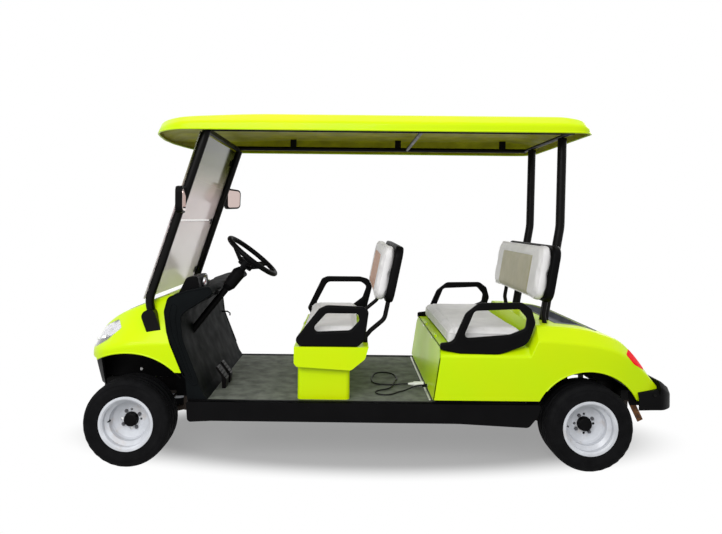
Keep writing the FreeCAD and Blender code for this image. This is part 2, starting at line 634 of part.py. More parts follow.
def suspension():
    damper_y = "rail_y + rail_width / 2 + seat_gap + damper_radius"
    left = [
        leaf_spring("FrontSpring", "front_axle_x", "front_reach", "front_spring_low", "front_rise", "rail_y",
                    "axle_z - beam_height / 2"),
        leaf_spring("RearSpring", "rear_axle_x", "rear_reach", "rear_spring_low", "rear_rise",
                    "rear_spring_y",
                    "axle_z - axle_radius"),
        rod("FrontDamper", "damper_radius", "136", "front_axle_x", damper_y,
            "axle_z + beam_height / 2 + seat_gap"),
        rod("RearDamper", "damper_radius", "128", "rear_axle_x", damper_y, "axle_z + axle_radius + seat_gap"),
    ]
    node("suspension", grouped("Suspension", *(left + [mirrored(piece.Name + "Right", piece)
                                                       for piece in left])))


# ---------------------------------------------------------------------------------------------
# Front body

CAP_OUTLINE = [("front_axle_x - 178", "680", "34"), ("front_axle_x - 110", "652", "34"),
               ("front_axle_x - 54", "800", "34"), ("front_axle_x - 122", "838", "34")]
LAMP_OUTLINE = [("front_axle_x + 60", "716", "10"), ("front_axle_x + 98", "752", "14"),
                ("front_axle_x + 194", "706", "30"), ("front_axle_x + 284", "640", "14"),
                ("front_axle_x + 282", "596", "10"), ("front_axle_x + 224", "600", "30"),
                ("front_axle_x + 134", "652", "30")]
LAMP_Y, LAMP_WIDTH = "435", "286"


def front_struts():
    top_x = "strut_foot_x - (strut_top_z - strut_foot_z) * tan(screen_lean)"
    bar = tube("StrutBar", [(top_x, "strut_top_z"), ("strut_foot_x", "strut_foot_z", "110"),
                            ("front_axle_x - 120", "720")],
               "strut_radius", "strut_y")
    cap = side_plate("StrutCap", [CAP_OUTLINE], "62", "strut_y + 16")
    left = joined("FrontStrut", bar, cap)
    node("front_struts", pair("FrontStruts", left))
    hole = side_plate("StrutHole", [CAP_OUTLINE], "62 + 2 * seat_gap", "strut_y + 16")
    clear = tube("StrutClear", [(top_x, "strut_top_z"), ("strut_foot_x", "strut_foot_z", "110"),
                                ("front_axle_x - 120", "720")],
                 "strut_radius + 2", "strut_y")
    return joined("StrutSpace", hole, clear)


def front_cowl(strut_space):
    outer = form("CowlOuter", COWL, "480", "0")
    inner = form("CowlInner", COWL, "480", "skin")
    deep = form("CowlDeep", COWL, "480", "lens_sheet")
    trim = side_plate("CowlTrim", [[
        ("front_axle_x - 283", "498"), ("front_axle_x + 14", "498"), ("front_axle_x + 14", "554"),
        ("nose_x + 10", "554"), ("nose_x + 10", "930"),
        ("front_axle_x - 228", "930"), ("front_axle_x - 200", "885", "30"),
        ("front_axle_x - 181", "814", "40"), ("front_axle_x - 197", "704", "90"),
    ]], "2 * body_half + 20")
    arch = cross_rod("CowlArch", "cowl_arch", "body_half + 20", "front_axle_x", "axle_z")
    lamp = side_plate("LampForm", [LAMP_OUTLINE], LAMP_WIDTH, LAMP_Y)
    opening = side_plate("LampOpening", [LAMP_OUTLINE], LAMP_WIDTH + " + 2 * seat_gap", LAMP_Y)
    openings = pair("LampOpenings", opening)
    spaces = pair("StrutSpaces", strut_space)
    shell = common("CowlShell", cut("CowlSkin", outer, inner), trim)
    node("front_cowl", cut("Cowl", shell, arch, openings, spaces))
    lens = cut("Lens", common("LensBlock", outer, lamp), deep)
    node("headlamps", pair("Headlamps", lens))


def wheel_house(tag, x, arch, lining, keep_band, keep_wall, wall_low):
    """Arch bands over a pair of wheels with the inner walls that close them off."""
    face = arch + " - seat_gap"
    tunnel = cut(tag + "Tunnel", cross_rod(tag + "BandOut", face, "body_half - 8", x, "axle_z"),
                 cross_rod(tag + "BandIn", face + " - liner_sheet", "body_half", x, "axle_z"),
                 cross_rod(tag + "BandMiddle", arch + " + 10", "liner_in_y", x, "axle_z"))
    band = common(tag + "Band", common(tag + "BandKept", tunnel, keep_band), lining)
    disc = cut(tag + "Disc", cross_rod(tag + "WallOut", face, "liner_in_y + liner_sheet", x, "axle_z"),
               cross_rod(tag + "WallMiddle", arch + " + 10", "liner_in_y", x, "axle_z"),
               cross_rod(tag + "WallOpen", wall_low, "body_half", x, "axle_z"))
    return joined(tag + "House", band, common(tag + "Wall", disc, keep_wall))


def front_liner():
    keep_band = side_plate("FrontBandKeep", [[("front_axle_x - 286", "470"), ("front_axle_x", "340"),
                                              ("front_axle_x", "562"), ("front_axle_x + 294", "562"),
                                              ("front_axle_x + 294", "700"),
                                              ("front_axle_x - 376", "700"), ("front_axle_x - 376", "480")]],
                                              "2 * body_half")
    keep_wall = side_plate("FrontWallKeep", [[("front_axle_x - 296", "470"), ("front_axle_x - 226", "400"),
                                              ("front_axle_x", "440"), ("front_axle_x + 174", "402"),
                                              ("front_axle_x + 250", "420"),
                                              ("front_axle_x + 250", "700"), ("front_axle_x - 376", "700"),
                                              ("front_axle_x - 376", "480")]], "2 * body_half")
    lining = form("CowlLining", COWL, "480", "skin + seat_gap")
    node("wheel_liners", wheel_house("Front", "front_axle_x", "cowl_arch", lining, keep_band, keep_wall,
                                     "200"))
    band = plan_plate("Valance", [[
        ("front_axle_x + 208", "-396"), ("front_axle_x + 268", "-330", "60"), ("nose_x - 23", "-200", "120"),
        ("nose_x - 23", "200", "120"), ("front_axle_x + 268", "330", "60"), ("front_axle_x + 208", "396"),
        ("front_axle_x + 208", "388"), ("front_axle_x + 262", "325", "54"), ("nose_x - 29", "197", "114"),
        ("nose_x - 29", "-197", "114"), ("front_axle_x + 262", "-325", "54"), ("front_axle_x + 208", "-388"),
    ]], "174", "380")
    node("front_valance", band)


def windscreen():
    lean = Vector(0, 1, 0)
    out = "(strut_radius + seat_gap)"
    panes = []
    for tag, low, high in (("Lower", "strut_foot_z", "glass_fold_z - 3"),
                           ("Upper", "glass_fold_z + 3", "strut_top_z - 14")):
        x = "strut_foot_x - (" + low + " - strut_foot_z) * tan(screen_lean) + " + out + " * cos(screen_lean)"
        pane = doc.addObject("Part::Box", "Pane" + tag)
        bind(pane, "Length", "glass_sheet")
        bind(pane, "Width", "2 * glass_half")
        bind(pane, "Height", "(" + high + " - (" + low + ")) / cos(screen_lean)")
        panes.append(place(pane, x, "-glass_half", low + " + " + out + " * sin(screen_lean)", lean,
                           "-screen_lean"))
    node("windscreen", grouped("Windscreen", *panes))


def mirrors():
    heads, faces = [], []
    for tag, side, turn, z in (("Left", "", "mirror_turn_left", "mirror_z"),
                               ("Right", "-", "-mirror_turn_right", "(mirror_z + mirror_right_lift)")):
        x = "strut_foot_x - (" + z + " - strut_foot_z) * tan(screen_lean)"
        rows = [("8", "-68", "22"), ("mirror_width + 4", "-62", "30"), ("mirror_width + 8", "68", "30"),
                ("4", "80", "22")]
        inner = [("16", "-56", "16"), ("mirror_width - 4", "-52", "22"), ("mirror_width - 1", "58", "22"),
                 ("14", "66", "16")]
        for kind, outline, first, depth, found in (("Head", rows, "-24", "34", heads),
                                                   ("Face", inner, "-24 - seat_gap - 3", "3", faces)):
            owner = body("Mirror" + kind + tag)
            drawing = sketch(owner, "Mirror" + kind + tag + "Outline", "YZ_Plane",
                             [[(side + "(" + row[0] + ")",) + row[1:] for row in outline]])
            pad(owner, drawing, depth, both_ways=False)
            bind(drawing, "AttachmentOffset.Base.z", first)
            found.append(place(owner, x, side + "(strut_y + 40)", z, Vector(0, 0, 1), turn))
        start = "strut_y + 60" if side == "" else "-(strut_y + strut_radius + seat_gap)"
        stalk = rod("MirrorStalk" + tag, "7", "60 - strut_radius - seat_gap", x, start, z, Vector(1, 0, 0))
        heads[-1] = joined("Mirror" + tag, heads[-1], stalk)
    node("wing_mirrors", grouped("Mirrors", *heads))
    node("mirror_glass", grouped("MirrorFaces", *faces))


def dashboard():
    dash_rows = [
        ("floor_front_x", "floor_top + seat_gap"), ("front_axle_x - 313", "floor_top + seat_gap"),
        ("front_axle_x - 300", "480"), ("front_axle_x - 287", "500"),
        ("front_axle_x - 203", "704", "90"), ("front_axle_x - 188", "814", "40"),
        ("front_axle_x - 207", "888", "30"), ("front_axle_x - 306", "924", "80"),
        ("front_axle_x - 420", "944", "16"), ("front_axle_x - 440", "916", "10"),
        ("front_axle_x - 401", "888", "30"), ("front_axle_x - 266", "800", "60"),
        ("front_axle_x - 284", "660", "100"), ("front_axle_x - 391", "392", "40"),
    ]
    outer = side_plate("DashForm", [dash_rows], "2 * dash_half")
    inner = side_plate("DashHollow", [[
        ("floor_front_x + 2.6 * dash_sheet", "floor_top + dash_sheet"),
        ("front_axle_x - 246", "floor_top + dash_sheet"),
        ("front_axle_x - 126", "700"), ("front_axle_x - 126", "888 - dash_sheet"),
        ("front_axle_x - 207", "888 - dash_sheet"), ("front_axle_x - 306", "924 - 1.4 * dash_sheet"),
        ("front_axle_x - 420 + dash_sheet", "944 - 1.4 * dash_sheet"),
        ("front_axle_x - 420 + dash_sheet / 2", "920"),
        ("front_axle_x - 401 + dash_sheet", "888 + dash_sheet"),
        ("front_axle_x - 266 + 1.5 * dash_sheet", "800 + dash_sheet", "50"),
        ("front_axle_x - 284 + 1.2 * dash_sheet", "660", "90"),
        ("front_axle_x - 391 + 1.5 * dash_sheet", "392", "30"),
    ]], "2 * (dash_half - dash_sheet)")
    passage = rod("ColumnPassage", "column_radius + seat_gap", "620", "wheel_x", "wheel_y", "wheel_z",
                  Vector(0, 1, 0), "180 - column_lean")
    node("dashboard", cut("Dash", cut("DashShell", outer, inner), passage))
    hood = side_plate("InstrumentHood", [[
        ("front_axle_x - 222", "868"), ("front_axle_x - 226", "902", "20"),
        ("front_axle_x - 266", "984", "26"), ("front_axle_x - 326", "990", "16"),
        ("front_axle_x - 338", "930"), ("front_axle_x - 338", "900"),
    ]], "230", "wheel_y")
    raised = place(side_plate("DashRaised", [dash_rows], "2 * dash_half"), z="seat_gap")
    node("instrument_pod", cut("InstrumentPod", hood, raised))


def along_column(distance):
    return ("wheel_x + (" + distance + ") * sin(column_lean)", "wheel_y",
            "wheel_z - (" + distance + ") * cos(column_lean)")


def steering():
    turn = Vector(0, 1, 0)
    bar = rod("ColumnBar", "column_radius", "510", *along_column("boss_drop + 20"), turn, "180 - column_lean")
    shrouds = []
    for number, (start, length, first, last) in enumerate((
            ("96", "26", "column_radius + 4", "38"), ("122", "86", "38", "36"),
            ("208", "30", "36", "column_radius + 4"))):
        cone = doc.addObject("Part::Cone", "Shroud%d" % number)
        bind(cone, "Radius1", first)
        bind(cone, "Radius2", last)
        bind(cone, "Height", length)
        shrouds.append(place(cone, *along_column(start), turn, "180 - column_lean"))
    shaft = rod("SteeringShaft", "shaft_radius", "60", *along_column("boss_drop - 10"), turn,
                "180 - column_lean")
    node("steering_column", joined("Column", bar, shaft, *shrouds))

    hub = body("WheelHub")
    drawing = disc_sketch(hub, "BossOutline", "XY_Plane", [("0", "0", "boss_radius")], "-boss_drop - 14")
    pad(hub, drawing, "36", both_ways=False)
    spoke_rows = [("20", "-boss_drop + 16"), ("20", "-boss_drop - 6"),
                  ("boss_radius", "-boss_drop - 6", "20"),
                  ("wheel_rim_radius - 4", "-7"), ("wheel_rim_radius - 4", "5"),
                  ("boss_radius", "-boss_drop + 16", "20")]
    spoke = pad(hub, sketch(hub, "Spoke", "XZ_Plane", [spoke_rows]), "30")
    doc.recompute()
    pattern = hub.newObject("PartDesign::PolarPattern", "Spokes")
    pattern.Originals = [spoke]
    pattern.Axis = (next(line for line in hub.Origin.OriginFeatures if line.Role == "Z_Axis"), [""])
    pattern.Angle = 360
    pattern.Occurrences = 3
    hub.Tip = pattern
    grip = doc.addObject("Part::Torus", "Grip")
    bind(grip, "Radius1", "wheel_rim_radius")
    bind(grip, "Radius2", "grip_radius")
    seat = rod("BossBore", "shaft_radius + bore_play", "36", z="-boss_drop - 24")
    bored = cut("SteeringWheel", joined("WheelBlank", grip, hub), seat)
    node("steering_wheel", place(bored, "wheel_x", "wheel_y", "wheel_z", turn, "-column_lean"))


def pedals():
    rows = [("front_axle_x - 470", "floor_top + seat_gap"), ("front_axle_x - 450", "floor_top + seat_gap"),
            ("front_axle_x - 445", "420", "12"), ("front_axle_x - 412", "466", "3"),
            ("front_axle_x - 420", "474", "3"), ("front_axle_x - 474", "404", "3")]
    node("pedals", grouped("Pedals", side_plate("Accelerator", [rows], "54", "wheel_y - 130"),
                           side_plate("Brake", [rows], "76", "wheel_y - 10")))


# ---------------------------------------------------------------------------------------------
# Roof

def roof():
    node("roof_shell", cut("Roof", form("RoofOuter", ROOF, "roof_low", "0"),
                           form("RoofInner", ROOF, "roof_low", "roof_skin")))
    rail_z = "strut_top_z + 16"
    front_x = "strut_foot_x - (strut_top_z - strut_foot_z) * tan(screen_lean) + 4"
    rear_x = "rear_axle_x + 66"
    thin = "roof_rail_radius - 3"
    rail = rod("RoofRail", "roof_rail_radius", front_x + " + 8 - (" + rear_x + " - 8)", rear_x + " - 8",
               "roof_rail_y", rail_z,
               Vector(0, 1, 0))
    bars = [
        rail, mirrored("RoofRailRight", rail),
        block("RoofBarFront", front_x + " - 17", "-(strut_y - strut_radius - seat_gap)", "strut_top_z - 8",
              "22",
              "2 * (strut_y - strut_radius - seat_gap)", "22"),
        cross_rod("RoofBarMiddle", thin, "roof_rail_y", "-243", rail_z),
        cross_rod("RoofBarRear", thin, "roof_rail_y", rear_x, rail_z),
    ]
    for number, x in enumerate(("front_axle_x - 766", "-180", "rear_axle_x + 222")):
        pad_up = block("RoofPost%d" % number, x + " - 20", "roof_rail_y - 12", rail_z, "40", "24",
                       "roof_top - roof_skin - seat_gap - (" + rail_z + ")")
        bars += [pad_up, mirrored("RoofPost%dRight" % number, pad_up)]
    node("roof_frame", joined("RoofFrame", *bars))


# ---------------------------------------------------------------------------------------------
# Seats

def seat_back(tag, x, z, lean):
    """The pad and its moulded shell, leaning back about the pad's lower front edge."""
    pad_rows = [("0", "0", "18"), ("0", "back_height", "26"), ("-pad_sheet", "back_height", "6"),
                ("-pad_sheet", "0", "6")]
    shell_rows = [("-pad_sheet - seat_gap", "12"), ("-pad_sheet - seat_gap", "back_height - 6", "6"),
                  ("-pad_sheet - shell_sheet", "back_height - 24", "30"),
                  ("-pad_sheet - shell_sheet", "12", "8")]
    cushion = side_plate(tag + "Pad", [pad_rows], "2 * back_half")
    shell = side_plate(tag + "Shell", [shell_rows], "2 * back_half - 12")
    turn = Vector(0, 1, 0)
    node(tag + "_seat_back", place(cushion, x, "0", z, turn, "-" + lean))
    return place(shell, x, "0", z, turn, "-" + lean)


def behind(x, z, lean, across, up):
    """A point in the seat back's own frame, as x and z on the cart."""
    return (x + " + (" + across + ") * cos(" + lean + ") - (" + up + ") * sin(" + lean + ")",
            z + " + (" + across + ") * sin(" + lean + ") + (" + up + ") * cos(" + lean + ")")


def lid_cushion(name, x, length):
    rows = [
        (x, "pan_top"), (x + " + 4", "pan_top + cushion_height * 0.55", "20"),
        (x + " - 14", "cushion_top", "cushion_round"),
        (x + " - " + length, "cushion_top - 6", "18"), (x + " - " + length, "pan_top"),
    ]
    node(name, side_plate(name + "Form", [rows], "2 * cushion_half"))


# Outline and window of each front arm; the passenger's stands higher.
FRONT_ARM_LEFT = (
    [("431", "674", "30"), ("404", "pan_top", "16"), ("100", "pan_top", "30"), ("60", "674", "30"),
     ("40", "830", "26"), ("70", "852", "24"), ("262", "858", "50"), ("302", "840", "30")],
    [("354", "716", "20"), ("264", "816", "26"), ("98", "816", "16"), ("90", "778", "16"),
     ("138", "726", "34")],
)
FRONT_ARM_RIGHT = (
    [("436", "690", "20"), ("408", "pan_top", "16"), ("90", "pan_top", "30"), ("20", "700", "40"),
     ("-16", "846", "26"), ("10", "896", "40"), ("70", "912", "60"), ("300", "912", "50"),
     ("338", "896", "30")],
    [("384", "706", "20"), ("298", "874", "40"), ("62", "876", "40"), ("24", "846", "24"),
     ("52", "768", "24"), ("130", "708", "40")],
)


def front_seat():
    lower = plan_plate("BoxLower", [[("138", "-box_half", "24"), ("416", "-box_half", "24"),
                                     ("416", "box_half", "24"),
                                     ("138", "box_half", "24")]], "seat_pan_z - 100 - floor_top",
                                     "floor_top + seat_gap")
    collar_rows = [("front_seat_x + 16", "seat_pan_z"), ("front_seat_x + 16", "seat_pan_z - 88", "16"),
                   ("front_seat_x + 2", "seat_pan_z - 105", "8"), ("132", "seat_pan_z - 122", "24"),
                   ("58", "seat_pan_z - 62", "40"), ("40", "seat_pan_z")]
    collar = side_plate("BoxCollar", [collar_rows], "2 * collar_half")
    well = plan_plate("BoxWell", [[("138 + box_sheet", "-box_half + box_sheet", "16"),
                                   ("416 - box_sheet", "-box_half + box_sheet", "16"),
                                   ("416 - box_sheet", "box_half - box_sheet", "16"),
                                   ("138 + box_sheet", "box_half - box_sheet", "16")]],
                      "seat_pan_z - 60 - floor_top", "floor_top - 10")
    inner_rows = [("front_seat_x + 16 - box_sheet", "seat_pan_z - 12"),
                  ("front_seat_x + 16 - box_sheet", "seat_pan_z - 84", "10"),
                  ("front_seat_x - 2", "seat_pan_z - 96"), ("136", "seat_pan_z - 112", "16"),
                  ("68", "seat_pan_z - 58", "30"),
                  ("52", "seat_pan_z - 12")]
    hollow = side_plate("CollarHollow", [inner_rows], "2 * (collar_half - box_sheet)")
    mouth = block("BoxMouth", "110", "-(cushion_half - 50)", "seat_pan_z - 30", "270",
                  "2 * (cushion_half - 50)", "60")
    pins = [rod("FrontHinge%d" % number, "hinge_radius", "60", "front_seat_x + 9", y,
                "seat_pan_z + hinge_radius - 1", Vector(1, 0, 0))
            for number, y in enumerate(("240", "-180"))]
    box = cut("SeatBoxShell", joined("SeatBoxSolid", lower, collar), well, hollow, mouth)
    node("front_seat_box", joined("FrontSeatBox", box, *pins))
    lid_cushion("front_cushion", "front_seat_x", "front_seat_length")
    arms = []
    for tag, side, loops in (("Left", "arm_y", FRONT_ARM_LEFT), ("Right", "-arm_y", FRONT_ARM_RIGHT)):
        arms.append(side_plate("FrontArm" + tag, loops, "arm_pad", side))
    node("front_armrests", grouped("FrontArms", *arms))
    seat = ("front_back_x", "front_back_z", "front_back_lean")
    shell = seat_back("front", *seat)
    middle = "-pad_sheet - shell_sheet / 2"
    bar = tube("BackTube", [behind(*seat, middle, "12 - seat_gap"), behind(*seat, middle, "-82") + ("60",),
                            ("26", "706", "50"), ("54", "672", "20"), ("54", "pan_top")], "back_tube_radius",
                            "430")
    return shell, bar


def rear_seat(body_space):
    lid_cushion("rear_cushion", "rear_seat_x", "rear_seat_length")
    outline = [("rear_axle_x + 785", "664", "12"), ("rear_axle_x + 785", "630", "10"),
               ("rear_axle_x + 682", "610", "80"), ("rear_axle_x + 472", "606", "160"),
               ("rear_axle_x + 322", "664", "80"), ("rear_axle_x + 284", "776", "40"),
               ("rear_axle_x + 304", "846", "24"), ("rear_axle_x + 352", "882", "40"),
               ("rear_axle_x + 582", "878", "50"), ("rear_axle_x + 652", "822", "60"),
               ("rear_axle_x + 718", "672", "40")]
    window = [("rear_axle_x + 666", "690", "20"), ("rear_axle_x + 606", "836", "26"),
              ("rear_axle_x + 370", "848", "24"), ("rear_axle_x + 328", "800", "24"),
              ("rear_axle_x + 336", "746", "24"),
              ("rear_axle_x + 418", "712", "60")]
    arm = cut("RearArm", side_plate("RearArmForm", [outline, window], "arm_pad", "arm_y"), body_space)
    node("rear_armrests", pair("RearArms", arm))
    seat = ("rear_back_x", "rear_back_z", "rear_back_lean")
    shell = seat_back("rear", *seat)
    middle = "-pad_sheet - shell_sheet / 2"
    bar = tube("RearBackTube", [behind(*seat, middle, "12 - seat_gap"),
                                behind(*seat, middle, "-60") + ("60",),
                                ("rear_back_x - 92", "rear_back_z - 190")], "back_tube_radius", "430")
    return shell, cut("RearBackSupport", bar, body_space)


# ---------------------------------------------------------------------------------------------
# Rear body

TRAY_OUTLINE = [("rear_axle_x + 127", "800"), ("rear_axle_x - 94", "800"), ("rear_axle_x - 74", "672", "10"),
                ("rear_axle_x + 122", "688", "10")]
REAR_LAMP = [("rear_axle_x - 200", "612", "8"), ("rear_axle_x - 240", "630", "12"),
             ("rear_axle_x - 290", "604", "12"), ("rear_axle_x - 330", "536", "8"),
             ("rear_axle_x - 306", "526", "8"), ("rear_axle_x - 240", "562", "20")]
STRUT_ROWS = [("rear_axle_x + 66", "strut_top_z + 19 - roof_rail_radius - seat_gap"),
              ("rear_axle_x + 74", "1282", "300"), ("rear_axle_x + 162", "757", "300"),
              ("rear_axle_x + 229", "470", "300"), ("rear_axle_x + 229",
                                                    "kick_low + cross_height + seat_gap")]


def rear_body():
    outer = form("RearOuter", REAR, "360", "0")
    inner = form("RearInner", REAR, "360", "skin")
    trim = side_plate("RearTrim", [[
        ("rear_axle_x + 822", "body_low"), ("rear_axle_x + 779", "seat_pan_z + 20"),
        ("rear_axle_x + 422", "900"), ("rear_axle_x - 388", "900"), ("rear_axle_x - 388", "426.3"),
        ("rear_axle_x - 374", "426.3"),
        ("rear_axle_x - 263", "412.6"), ("rear_axle_x - rear_arch + 20", "412.6"),
        ("rear_axle_x - rear_arch + 20", "body_low"),
    ]], "2 * body_half + 20")
    arch = cross_rod("RearArch", "rear_arch", "body_half + 20", "rear_axle_x", "axle_z")
    leaning = side_plate("RearFront", [[("rear_axle_x + 822", "body_low"),
                                        ("rear_axle_x + 779", "seat_pan_z + 20"),
                                        ("rear_axle_x + 774", "seat_pan_z + 20"),
                                        ("rear_axle_x + 817", "body_low")]], "2 * body_half")
    front = common("RearFrontPanel", leaning, form("RearFull", REAR, "360", "0"))
    mouth = block("BatteryMouth", "rear_axle_x + 362", "-(cushion_half - 50)", "seat_pan_z - 40", "360",
                  "2 * (cushion_half - 50)", "80")
    well = side_plate("TrayOpening", [TRAY_OUTLINE], "2 * (tray_half + seat_gap)")
    post = tube("RearStrutSpace", STRUT_ROWS, "rear_strut_radius + seat_gap", "rear_strut_y")
    lamp = side_plate("RearLampForm", [REAR_LAMP], "120", "body_half - 40")
    lamp_space = side_plate("RearLampSpace", [REAR_LAMP], "120 + 2 * seat_gap", "body_half - 40")
    skin = cut("RearSkin", common("RearShell", cut("RearHollow", outer, inner), trim), arch, mouth, well,
               pair("RearStrutSpaces", post), pair("RearLampSpaces", lamp_space))
    pins = [rod("RearHinge%d" % number, "hinge_radius", "60", "rear_seat_x + 9", y,
                "seat_pan_z + hinge_radius - 1", Vector(1, 0, 0))
            for number, y in enumerate(("240", "-180"))]
    node("rear_body", joined("RearBody", skin, front, *pins))
    deep = form("RearDeep", REAR, "360", "lens_sheet")
    node("tail_lamps", pair("TailLamps", cut("TailLens", common("TailBlock", outer, lamp), deep)))
    hollow = side_plate("TrayHollow", [[("rear_axle_x + 127 - tray_sheet", "820"),
                                        ("rear_axle_x - 94 + tray_sheet", "820"),
                                        ("rear_axle_x - 74 + tray_sheet", "672 + tray_sheet", "8"),
                                        ("rear_axle_x + 122 - tray_sheet", "688 + tray_sheet", "8")]],
                        "2 * (tray_half - tray_sheet)")
    tray = cut("TrayShell", side_plate("TrayForm", [TRAY_OUTLINE], "2 * tray_half"), hollow)
    node("deck_tray", common("Tray", tray, form("RearTop", REAR, "360", "-seat_gap")))
    clear = form("RearClear", REAR, "360", "-seat_gap")
    node("rear_bumper", cut("Bumper", form("BumperOuter", BUMPER, "322", "0"),
                            form("BumperInner", BUMPER, "322", "skin"), clear))
    strut = tube("RearStrut", STRUT_ROWS, "rear_strut_radius", "rear_strut_y")
    node("rear_struts", pair("RearStruts", strut))
    node("battery_block", block("Battery", "rear_axle_x + 332", "-battery_half", "floor_top + seat_gap",
                                "battery_length",
                                "2 * battery_half", "battery_height"))
    rear_liner()
    return clear


def rear_liner():
    keep_band = side_plate("RearBandKeep", [[("rear_axle_x", "440"), ("rear_axle_x - 198", "400"),
                                             ("rear_axle_x - 198", "560"), ("rear_axle_x + 262", "560"),
                                             ("rear_axle_x + 262", "452")]],
                           "2 * body_half")
    keep_wall = side_plate("RearWallKeep", [[("rear_axle_x", "400"), ("rear_axle_x - 118", "400"),
                                             ("rear_axle_x - 258", "400"), ("rear_axle_x - 258", "560"),
                                             ("rear_axle_x + 252", "560"),
                                             ("rear_axle_x + 252", "400"), ("rear_axle_x + 222", "400")]],
                                             "2 * body_half")
    lining = form("RearLining", REAR, "360", "skin + seat_gap")
    node("rear_liners", wheel_house("Rear", "rear_axle_x", "rear_arch", lining, keep_band, keep_wall, "236"))


# ---------------------------------------------------------------------------------------------
# Charging lead, lying on the floor in front of the rear seat box

LEAD_ROUTE = (
    (-270, 336, 384), (-240, 337, 382), (-205, 342, 369), (-168, 354, 356.5), (-132, 380, 356.3),
    (-102, 422, 356.3),
    (-60, 446, 356.3), (-18, 430, 356.3), (-2, 388, 356.3), (-24, 348, 356.3), (-68, 326, 356.3),
    (-102, 298, 360),
    (-118, 256, 374), (-127, 196, 374), (-134, 148, 360), (-146, 96, 356.3), (-146, 36, 356.3),
    (-134, -22, 356.3),
    (-100, -68, 356.3), (-48, -72, 356.3), (-16, -34, 356.3), (-4, 20, 356.3), (6, 76, 356.3),
    (8, 132, 356.3), (2, 182, 356.3),
    (-32, 220, 356.3), (-80, 230, 356.3), (-126, 233, 358), (-162, 240, 365), (-200, 243, 366.3),
)


def lead():
    points = [Vector(*point) for point in LEAD_ROUTE]
    edges, start, radii = [], points[0], []
    for before, corner, after in zip(points, points[1:], points[2:]):
        back, ahead = before - corner, after - corner
        reach = 0.45 * min(back.Length, ahead.Length)
        back.normalize()
        ahead.normalize()
        half_turn = (math.pi - back.getAngle(ahead)) / 2
        radius = reach / math.tan(half_turn)
        first, last = corner + back * reach, corner + ahead * reach
        middle = corner + (back + ahead).normalize() * (radius / math.cos(half_turn) - radius)
        edges += [Part.LineSegment(start, first).toShape(), Part.Arc(first, middle, last).toShape()]
        radii.append(round(radius))
        start = last
    edges.append(Part.LineSegment(start, points[-1]).toShape())
    line = doc.addObject("Part::Feature", "LeadLine")
    line.Shape = Part.Wire(edges)
    ring_at_exit = doc.addObject("Part::Circle", "LeadSection")
    bind(ring_at_exit, "Radius", "lead_radius")
    ring_at_exit.Placement = Placement(points[0], Rotation(Vector(0, 0, 1), points[1] - points[0]))
    sweep = doc.addObject("Part::Sweep", "Lead")
    sweep.Sections = [ring_at_exit]
    sweep.Spine = (line, ["Edge%d" % (i + 1) for i in range(len(edges))])
    sweep.Solid = True
    sweep.Frenet = False
    node("charging_lead", sweep)
    print("lead: length %.0f, bend radii %s" % (line.Shape.Length, radii))
    return line


def cone(name, foot, tip, length, x, y, z, angle):
    taper = doc.addObject("Part::Cone", name)
    for prop, words in (("Radius1", foot), ("Radius2", tip), ("Height", length)):
        bind(taper, prop, words)
    return place(taper, x, y, z, Vector(0, 1, 0), angle)


def lead_ends(body_space):
    """The grommet the lead leaves the seat box by, and the plug on its far end."""
    grommet = cone("LeadGrommet", "lead_radius + 10", "lead_radius + 2", "50", "-320", "lead_y", "lead_z",
                   "93.8")
    node("lead_gland", cut("LeadGland", grommet, body_space))
    foot_z = "floor_top + plug_radius + seat_gap"
    sleeve = cone("PlugSleeve", "lead_radius + 1.5", "plug_radius - 4", "32", "-200", "243", foot_z, "-90")
    barrel = rod("PlugBody", "plug_radius", "56", "-288", "243", foot_z, Vector(0, 1, 0))
    node("lead_plug", joined("LeadPlug", sleeve, barrel))


def build():
    chassis()
    floor_and_sills()
    wheels()
    front_axle()
    knuckle()
    tie_rod()
    rear_axle()
    suspension()
    strut_space = front_struts()
    front_cowl(strut_space)
    front_liner()
    windscreen()
    mirrors()
    dashboard()
    steering()
    pedals()
    roof()
    body_space = rear_body()
    seats = [front_seat(), rear_seat(body_space)]
    node("seat_back_shells", grouped("BackShells", *(shell for shell, bar in seats)))
    node("back_supports", grouped("BackSupports", *(pair(bar.Name + "Pair", bar) for shell, bar in seats)))
    line = lead()
    lead_ends(body_space)
    doc.recompute()
    tube_volume = line.Shape.Length * math.pi * float(sheet.lead_radius) ** 2
    if abs(NODES["charging_lead"].Shape.Volume / tube_volume - 1) > 0.01:
        raise RuntimeError("the lead's tube is wrong")


def check_and_write():
    for thing in doc.Objects:
        if {"Invalid", "Error"} & set(thing.State):
            raise RuntimeError("%s is %s" % (thing.Name, thing.State))
    os.makedirs("parts", exist_ok=True)
    for name, thing in NODES.items():
        shape = thing.Shape
        if shape.isNull() or not shape.isValid() or not shape.Solids:
            raise RuntimeError("%s has no valid shape" % name)
        print("%-20s %2d solids %9.1f cm3" % (name, len(shape.Solids), shape.Volume / 1000))
        shape.exportStep("parts/%s.step" % name)


build()
check_and_write()
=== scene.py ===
import bmesh
import bpy
import math
from mathutils import Matrix, Vector
from mathutils.bvhtree import BVHTree


